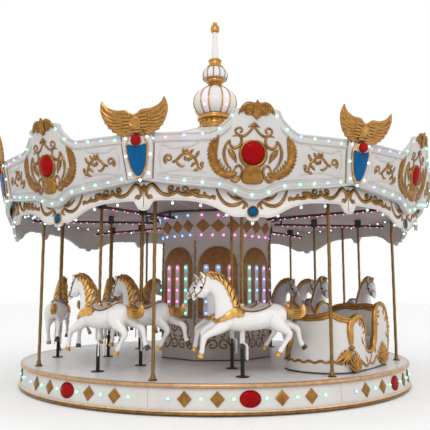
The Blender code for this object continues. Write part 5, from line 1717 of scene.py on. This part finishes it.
# %% Stations round the car
CHARIOT_OUTER, CHARIOT_INNER = 2.7, 1.8
CHARIOT_MIDDLE, CHARIOT_HALF_WIDTH = 2.25, 0.45
CHARIOT_CENTRE, CHARIOT_HALF_LENGTH = 0.17, 0.7
CHARIOT_WALL, CHARIOT_SKIRT, CHARIOT_WAIST = 0.05, 0.22, 0.5
SIDE_PROFILE = [(-0.4, -0.53, -0.5, 1.13), (-0.34, -0.44, -0.44, 1.18), (-0.28, -0.35, -0.35, 1.203),
    (-0.2, -0.24, -0.24, 1.2), (-0.125, -0.135, -0.135, 1.16), (-0.078, -0.078, -0.078, 1.05),
    (-0.058, -0.058, -0.058, 0.84), (-0.02, -0.02, -0.02, 0.67), (0.09, 0.09, 0.09, 0.59),
    (0.2, 0.2, 0.2, 0.61), (0.265, 0.265, 0.265, 0.7), (0.29, 0.29, 0.29, 0.87), (0.37, 0.37, 0.37, 1.01)]
DASH = [((2.7, 0.54), (2.7, 0.54), (2.7, 0.5), 1.068), ((2.68, 0.66), (2.685, 0.66), (2.68, 0.6), 1.03),
    ((2.64, 0.76), (2.65, 0.73), (2.63, 0.69), 1.04), ((2.57, 0.87), (2.58, 0.83), (2.57, 0.79), 1.065),
    ((2.48, 0.94), (2.5, 0.885), (2.5, 0.86), 1.11), ((2.38, 0.97), (2.38, 0.91), (2.38, 0.885), 1.08),
    ((2.24, 0.99), (2.24, 0.92), (2.24, 0.87), 1.06), ((2.1, 0.985), (2.1, 0.89), (2.1, 0.825), 1.06),
    ((1.97, 0.94), (1.96, 0.81), (1.96, 0.75), 1.057), ((1.86, 0.87), (1.86, 0.71), (1.86, 0.63), 1.045),
    ((1.8, 0.78), (1.8, 0.62), (1.8, 0.53), 1.035)]
BACK = [((radius, -0.41), (radius, -0.54), (radius, -0.48), height)
    for radius, height in ((1.95, 1.165), (2.1, 1.185), (2.25, 1.175), (2.4, 1.185), (2.55, 1.165))]


def car_side(radius):
    return [((radius, foot), (radius, waist), (radius, top), height)
        for foot, waist, top, height in SIDE_PROFILE]


def car_point(plan, height, inset=0.0):
    """Plan point (radius, ahead) in space, drawn in towards the middle of the car by about the inset."""
    radius = CHARIOT_MIDDLE + (plan[0] - CHARIOT_MIDDLE) * (1 - inset / CHARIOT_HALF_WIDTH)
    ahead = CHARIOT_CENTRE + (plan[1] - CHARIOT_CENTRE) * (1 - inset / CHARIOT_HALF_LENGTH)
    return Vector((-ahead, -radius, height))


def smooth_stations(stations, steps):
    flat = [(*low, *waist, *top, height) for low, waist, top, height in stations]
    return [((a, b), (c, d), (e, f), height) for a, b, c, d, e, f, height in flowing(flat + flat[:1],
            steps)[:-1]]


stations = smooth_stations(car_side(CHARIOT_OUTER) + DASH + car_side(CHARIOT_INNER)[::-1] + BACK, 4)
foot_level = DECK_TOP + 0.0003


def wall_place(station, share, inset=0.0):
    """Point of the wall at a station, a share of the way up from its foot to its top."""
    low, waist, top, height = station
    skirt = low if low[1] > CHARIOT_CENTRE else waist
    levels = [(0.0, low), (CHARIOT_SKIRT, skirt), (CHARIOT_WAIST, waist), (1.0, top)]
    for (below, first), (above, second) in zip(levels, levels[1:]):
        if below <= share <= above:
            part = (share - below) / (above - below)
            plan = tuple(a + (b - a) * part for a, b in zip(first, second))
    return car_point(plan, foot_level + (height - foot_level) * share, inset)


def wall_ring(station):
    """Section of the wall: an upright skirt, a panel that leans in, and a rounded top."""
    rise = station[3] - foot_level
    near_top = 1 - 0.012 / rise
    points = [wall_place(station, share) for share in (0.0, 0.11, 0.2, CHARIOT_SKIRT, 0.26, 0.38, 0.5,
            0.62, 0.8, near_top)]
    points += [wall_place(station, 1.0, 0.014), wall_place(station, 1.0, CHARIOT_WALL - 0.014),
        wall_place(station, near_top, CHARIOT_WALL), wall_place(station, CHARIOT_WAIST, CHARIOT_WALL),
        wall_place(station, CHARIOT_SKIRT, CHARIOT_WALL), wall_place(station, 0.0, CHARIOT_WALL)]
    return points


in_place = turned_by(CHARIOT_SECTOR * SECTOR)
wall = loft([wall_ring(station) for station in stations], closed=True, angle=50)
car_floor = loft([[car_point(low, level, CHARIOT_WALL / 2) for low, _, _, _ in stations]
        for level in (foot_level + 0.0003, foot_level + 0.06)])
CAR_INSIDE = lacquer("car_inside", (0.5, 0.46, 0.43), (0.43, 0.39, 0.36), 0.4, 0.1)
show("chariot_car", [(moved(wall, in_place), WHITE), (moved(car_floor, in_place), CAR_INSIDE)],
    nodes=["chariot_shell"])


# %% Gilded rolls
def car_line(radius, points, out=0.0):
    """Points beside a side of the car from (ahead, height, width) or (ahead, height, width, inset) values."""
    outward = 1 if radius > CHARIOT_MIDDLE else -1
    line = []
    for ahead, height, width, *inset in points:
        line.append((-ahead, -(radius + outward * (out - (inset[0] if inset else 0.0))), height, width))
    return line


def wall_radius(ahead, height):
    """Distance from the carousel's axis to the outer wall's face, beside its front corner."""
    places = []
    for station in stations[:len(stations) // 2]:
        share = (height - foot_level) / (station[3] - foot_level)
        if share <= 1.0:
            places.append(wall_place(station, share))
    return -min(places, key=lambda place: abs(-place.x - ahead) - 0.001 * (place.y < -2.5)).y


def top_line(first, last, width, out=0.0, lift=0.0):
    """Line along the wall's top from one station to another."""
    line = []
    for i in range(first, last + 1):
        _, _, top, height = stations[i % len(stations)]
        line.append((*car_point(top, height + lift, CHARIOT_WALL / 2 - out),
                width * (1 + 0.1 * sin(i * 0.9))))
    return line


CAR_GOLD = gilding("car_gold", (0.5, 0.26, 0.062), (0.34, 0.165, 0.038), 0.32)
per_side = len(SIDE_PROFILE) * 4
dash_first, dash_last = per_side + 1, per_side + (len(DASH) - 1) * 4
back_first = len(stations) - len(BACK) * 4 - 2
gilded = [top_line(dash_first, dash_last, 0.027, 0.008, -0.002),
    top_line(dash_first, dash_last, 0.024, 0.026, -0.036), top_line(back_first - 8, len(stations) + 8,
        0.029), top_line(back_first - 4, len(stations) + 4, 0.022, -0.024, -0.036)]
entry = [(-0.22, 1.212, 0.026), (-0.15, 1.185, 0.034), (-0.1, 1.1, 0.04), (-0.078, 0.98, 0.043),
    (-0.07, 0.86, 0.043), (-0.05, 0.745, 0.042), (0.0, 0.65, 0.04), (0.075, 0.6, 0.036),
    (0.15, 0.592, 0.031), (0.22, 0.608, 0.026), (0.278, 0.65, 0.021), (0.32, 0.705, 0.016),
    (0.322, 0.74, 0.009)]
rear = [(-0.22, 1.214, 0.026), (-0.3, 1.216, 0.031), (-0.39, 1.182, 0.03), (-0.465, 1.105, 0.026),
    (-0.505, 1.0, 0.022), (-0.52, 0.9, 0.02), (-0.528, 0.78, 0.021), (-0.515, 0.66, 0.02),
    (-0.5, 0.56, 0.017)]
arch = [(0.3, 0.735, 0.012), (0.272, 0.8, 0.017), (0.268, 0.87, 0.021), (0.282, 0.945, 0.024),
    (0.325, 1.01, 0.028), (0.395, 1.052, 0.032), (0.475, 1.066, 0.037)]
fall = [(0.555, 1.052, 0.044), (0.62, 1.0, 0.049), (0.655, 0.91, 0.051), (0.666, 0.82, 0.048),
    (0.668, 0.71, 0.036)]
outer_fall = arch[-1:] + [(ahead, height, width, CHARIOT_OUTER - wall_radius(ahead, height) + 0.004)
    for ahead, height, width in fall]
inner_fall = arch[-1:] + [(0.545, 1.015, 0.03), (0.58, 0.925, 0.03), (0.615, 0.815, 0.036),
    (0.668, 0.705, 0.044), (0.722, 0.62, 0.046), (0.768, 0.545, 0.034), (0.79, 0.5, 0.012)]
for radius, fall in ((CHARIOT_OUTER, outer_fall), (CHARIOT_INNER, inner_fall)):
    for line, out in ((entry, -0.012), (rear, -0.006), (arch, -0.006), (fall, -0.006)):
        gilded.append(car_line(radius, line, out))
beads = []
for radius in (CHARIOT_OUTER - 0.004, CHARIOT_INNER + 0.004):
    for ahead, height, size in ((-0.502, 1.01, 0.03), (-0.52, 0.945, 0.025), (-0.524, 0.89, 0.034),
            (-0.527, 0.835, 0.025), (-0.52, 0.7, 0.024), (0.668, 0.68, 0.054), (0.67, 0.64, 0.051)):
        if ahead > 0 and radius < CHARIOT_MIDDLE:
            continue
        knob = bmesh.new()
        bmesh.ops.create_uvsphere(knob, u_segments=14, v_segments=8, radius=1.0)
        mesh = to_mesh(knob, 180)
        squeeze, inset = (0.34, CHARIOT_OUTER - wall_radius(ahead, height)) if size > 0.04 else (0.8, 0.0)
        mesh.transform(Matrix.Translation((-ahead, -radius + inset, height)) @ Matrix.Diagonal((size,
                    size, size * squeeze, 1.0)))
        beads.append(mesh)
rolled = rolls(gilded, 2, steps=3)
show("chariot_rolls", [(moved(fused([rolled] + beads), in_place), CAR_GOLD)])

# %% [markdown]
# Acanthus leaves are fans of pointed lobes. Each lobe leaves a common root, swells, and bends out to a
# tip, and a shorter fan lies in front of the long one. They hide the places where one roll ends and the
# next begins.

# %% Acanthus leaves, wavy trim and a painted shadow line at the foot
def acanthus(centre, height, spread, lobes=9, width=0.02):
    """Fan of pointed lobes over a root, as flat strokes."""
    strokes = []
    for i in range(lobes):
        share = (i / (lobes - 1) - 0.5) * 2
        reach, lean = height * (1 - 0.58 * abs(share) ** 1.4), share * spread
        strokes.append([(centre[0] + lean * 0.12, centre[1], width * 0.55),
                (centre[0] + lean * 0.58, centre[1] + reach * 0.36, width * 0.85),
                (centre[0] + lean * 0.98, centre[1] + reach * 0.76, width),
                (centre[0] + lean * 1.22, centre[1] + reach * 1.04, width * 0.25)])
    return strokes


def on_car_side(mesh, radius, out=0.0):
    """A flat drawing, across meaning ahead, stood against a side of the car."""
    outward = radius > CHARIOT_MIDDLE
    made = moved(mesh, Matrix.Diagonal((-1.0, 1.0, 1.0, 1.0)))
    if not outward:
        made = moved(made, Matrix.Diagonal((1.0, -1.0, 1.0, 1.0)))
    return moved(made, Matrix.Translation((0, -(radius + (out if outward else -out)), 0)))


tall_leaves = acanthus((0.59, 0.375), 0.25, 0.175, 9, 0.0195) + acanthus((-0.3, 0.4), 0.3, 0.19, 9,
    0.0215)
short_leaves = acanthus((0.59, 0.37), 0.15, 0.12, 7, 0.0165) + acanthus((-0.3, 0.392), 0.18, 0.13, 7,
    0.018)
sprigs = [[(0.42, 0.5, 0.01), (0.35, 0.455, 0.018), (0.27, 0.42, 0.017), (0.19, 0.435, 0.015),
        (0.12, 0.49, 0.012), (0.08, 0.56, 0.008)], [(-0.08, 0.53, 0.01), (-0.02, 0.465, 0.017),
        (0.06, 0.43, 0.016), (0.14, 0.45, 0.01)], [(-0.06, 0.56, 0.008), (-0.045, 0.615, 0.014),
        (-0.055, 0.66, 0.006)], [(0.34, 0.7, 0.008), (0.375, 0.745, 0.014), (0.385, 0.8, 0.006)],
    [(0.225, 0.46, 0.008), (0.235, 0.5, 0.014), (0.26, 0.54, 0.006)],
    [(-0.125, 1.06, 0.01), (-0.185, 1.04, 0.019), (-0.215, 1.06, 0.007)],
    [(-0.105, 0.94, 0.01), (-0.15, 0.93, 0.017), (-0.175, 0.95, 0.006)],
    [(0.345, 1.0, 0.01), (0.42, 0.965, 0.022), (0.47, 0.975, 0.007)],
    [(0.415, 1.03, 0.01), (0.46, 0.985, 0.02), (0.455, 0.94, 0.007)],
    [(0.3, 0.95, 0.009), (0.345, 0.935, 0.015), (0.375, 0.905, 0.006)],
    [(0.29, 0.86, 0.009), (0.33, 0.855, 0.014), (0.352, 0.83, 0.006)],
    [(-0.145, 1.13, 0.009), (-0.19, 1.1, 0.017), (-0.24, 1.115, 0.007)],
    [(-0.4, 1.15, 0.009), (-0.37, 1.105, 0.016), (-0.38, 1.06, 0.006)],
    [(-0.47, 1.04, 0.009), (-0.435, 1.01, 0.016), (-0.43, 0.965, 0.006)],
    [(-0.49, 0.74, 0.009), (-0.455, 0.78, 0.016), (-0.455, 0.83, 0.006)]]
fans = fused([carved(tall_leaves, 0.7, 1, 3), moved(carved(short_leaves, 0.8, 1, 3),
            Matrix.Translation((0, -0.012, 0))), carved(sprigs, 0.75, 1, 3)])
side_leaves = [on_car_side(fans, radius, 0.002) for radius in (CHARIOT_OUTER, CHARIOT_INNER)]


def dash_leaf(root, tips, width):
    """Fan of pointed strokes over the front, from a (radius, ahead, height) root to its tips."""
    strokes = []
    for radius, ahead, height in tips:
        middle = ((root[0] + radius) / 2 + 0.012, (root[1] + ahead) / 2 + 0.018,
            (root[2] + height) / 2 - 0.006)
        strokes.append([(-root[1], -root[0], root[2], width), (-middle[1], -middle[0], middle[2],
                    width * 1.1), (-ahead, -radius, height, width * 0.25)])
    return strokes


front_leaves = dash_leaf((2.665, 0.69, 0.63), [(2.56, 0.885, 0.505), (2.575, 0.87, 0.54),
        (2.59, 0.85, 0.575), (2.61, 0.82, 0.615), (2.635, 0.77, 0.65), (2.61, 0.83, 0.47),
        (2.64, 0.775, 0.46), (2.665, 0.715, 0.455)], 0.022)
front_leaves += dash_leaf((1.815, 0.8, 0.5), [(1.93, 0.915, 0.56), (1.9, 0.875, 0.605), (1.87, 0.8, 0.65),
        (1.98, 0.945, 0.515), (1.85, 0.745, 0.7)], 0.019)


def trim_line(share, wave, length, width, first, last, out=0.004):
    """Wavy line round the outside of the car, a share of the way up its wall."""
    line, travelled = [], 0.0
    before = wall_place(stations[first % len(stations)], share, -out)
    for i in range(first, last + 1):
        place = wall_place(stations[i % len(stations)], share, -out)
        travelled += (place - before).length
        before = place
        line.append((place.x, place.y, place.z + wave * sin(2 * pi * travelled / length), width))
    return line


trims = [trim_line(0.21, 0.013, 0.15, 0.0145, dash_first + 7, dash_last + 1),
    trim_line(0.195, 0.008, 0.15, 0.007, dash_first + 7, dash_last + 1, 0.001),
    trim_line(0.13, 0.012, 0.15, 0.0125, back_first, len(stations) + 2)]
show("chariot_leaves", [(moved(fused(side_leaves + [rolls(trims + front_leaves, 1, steps=2)]), in_place),
            CAR_GOLD)])
# Painted shadow: a dark roll round the car's foot stands for the shadow line where the car meets the deck.
skirt = [trim_line(0.016, 0.0, 1.0, 0.01, 0, len(stations) - 1, 0.001)]
show("chariot_foot_shadow", [(moved(rolls(skirt, 1, cyclic=True, steps=1), in_place), STEEL)])

# %% Seat
BENCH_SIDE = CHARIOT_HALF_WIDTH - CHARIOT_WALL - 0.01


def seat():
    """Moulded seat with a rolled front edge and two dished places, and its back against the wall."""
    profile = [(0.33, 0.4206), (0.33, 0.7), (0.345, 0.745), (0.335, 0.772), (0.3, 0.779), (0.21, 0.762),
        (0.11, 0.745), (0.05, 0.757), (0.02, 0.779), (0.02, 0.4206)]
    rings = []
    for i in range(13):
        share = i / 12
        dish = 0.012 * (0.5 - 0.5 * cos(4 * pi * share))
        across = -CHARIOT_MIDDLE - BENCH_SIDE + 2 * BENCH_SIDE * share
        rings.append([Vector((x, across, z - (dish if 0.73 < z < 0.775 else 0))) for x, z in profile])
    return loft(rings, angle=40)


show("chariot_seat", [(moved(seat(), in_place), CAR_INSIDE)], nodes=["chariot_bench"])

# %% [markdown]
# ## Floor, light and camera
# A plain pale floor and soft light from the front and above show the work without colouring it. The
# camera stands at a visitor's eye height, a few steps away and a little to the left of the chariot.

# %% Floor
def pale_floor():
    made, tree, shader, where = finish("pale_floor", 0.75)
    tree.links.new(ramp(tree, noise(tree, where, 0.8, 3.0), [(0.3, (0.95, 0.95, 0.95)),
                (0.7, (0.93, 0.93, 0.93))]), shader.inputs["Base Color"])
    return made


floor = bpy.data.objects.new("pale_floor", lathe([(0, -0.04), (60, -0.04), (60, -0.001), (0, -0.001)], 64,
        closed=False))
floor.data.materials.append(pale_floor())
bpy.context.collection.objects.link(floor)
floor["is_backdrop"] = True

# %% Light
def soft_light(name, location, target, size, power, colour=(1.0, 1.0, 1.0)):
    data = bpy.data.lights.new(name, "AREA")
    data.shape = "DISK"
    data.size = size
    data.energy = power
    data.color = colour
    item = bpy.data.objects.new(name, data)
    item.location = location
    item.rotation_euler = (Vector(target) - Vector(location)).to_track_quat("-Z", "Y").to_euler()
    bpy.context.collection.objects.link(item)
    return item


world = bpy.data.worlds.new("studio")
world.use_nodes = True
world.node_tree.nodes["Background"].inputs["Color"].default_value = (1.0, 1.0, 1.0, 1.0)
world.node_tree.nodes["Background"].inputs["Strength"].default_value = 1.0
bpy.context.scene.world = world
soft_light("key", (-1.8, -9.8, 7.8), (0, 0, 2.2), 4.0, 315)
soft_light("fill", (8.0, -7.0, 3.5), (0, 0, 1.5), 6.0, 60)

# %% Camera
lens = bpy.data.cameras.new("visitor")
lens.lens = 48.7
lens.sensor_width = 36.0
camera = bpy.data.objects.new("visitor", lens)
camera.location = (-1.29, -9.579, 1.391)
camera.rotation_euler = (radians(97.43), 0.0, radians(-7.67))
bpy.context.collection.objects.link(camera)
bpy.context.scene.camera = camera

# %% [markdown]
# A little glow round the bulbs is added after the render, as a lens would do.

# %% Glow
scene = bpy.context.scene
scene.view_settings.view_transform = "Standard"
scene.use_nodes = True
tree = scene.node_tree
for node in list(tree.nodes):
    tree.nodes.remove(node)
picture = tree.nodes.new("CompositorNodeRLayers")
glow = tree.nodes.new("CompositorNodeGlare")
glow.glare_type = "BLOOM"
glow.inputs["Threshold"].default_value = 1.1
glow.inputs["Strength"].default_value = 1.0
glow.inputs["Size"].default_value = 0.3
output = tree.nodes.new("CompositorNodeComposite")
tree.links.new(picture.outputs["Image"], glow.inputs["Image"])
tree.links.new(glow.outputs["Image"], output.inputs["Image"])

# %% Size and finish
low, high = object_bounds()
print("Finished box:", [round(v, 3) for v in low], [round(v, 3) for v in high])
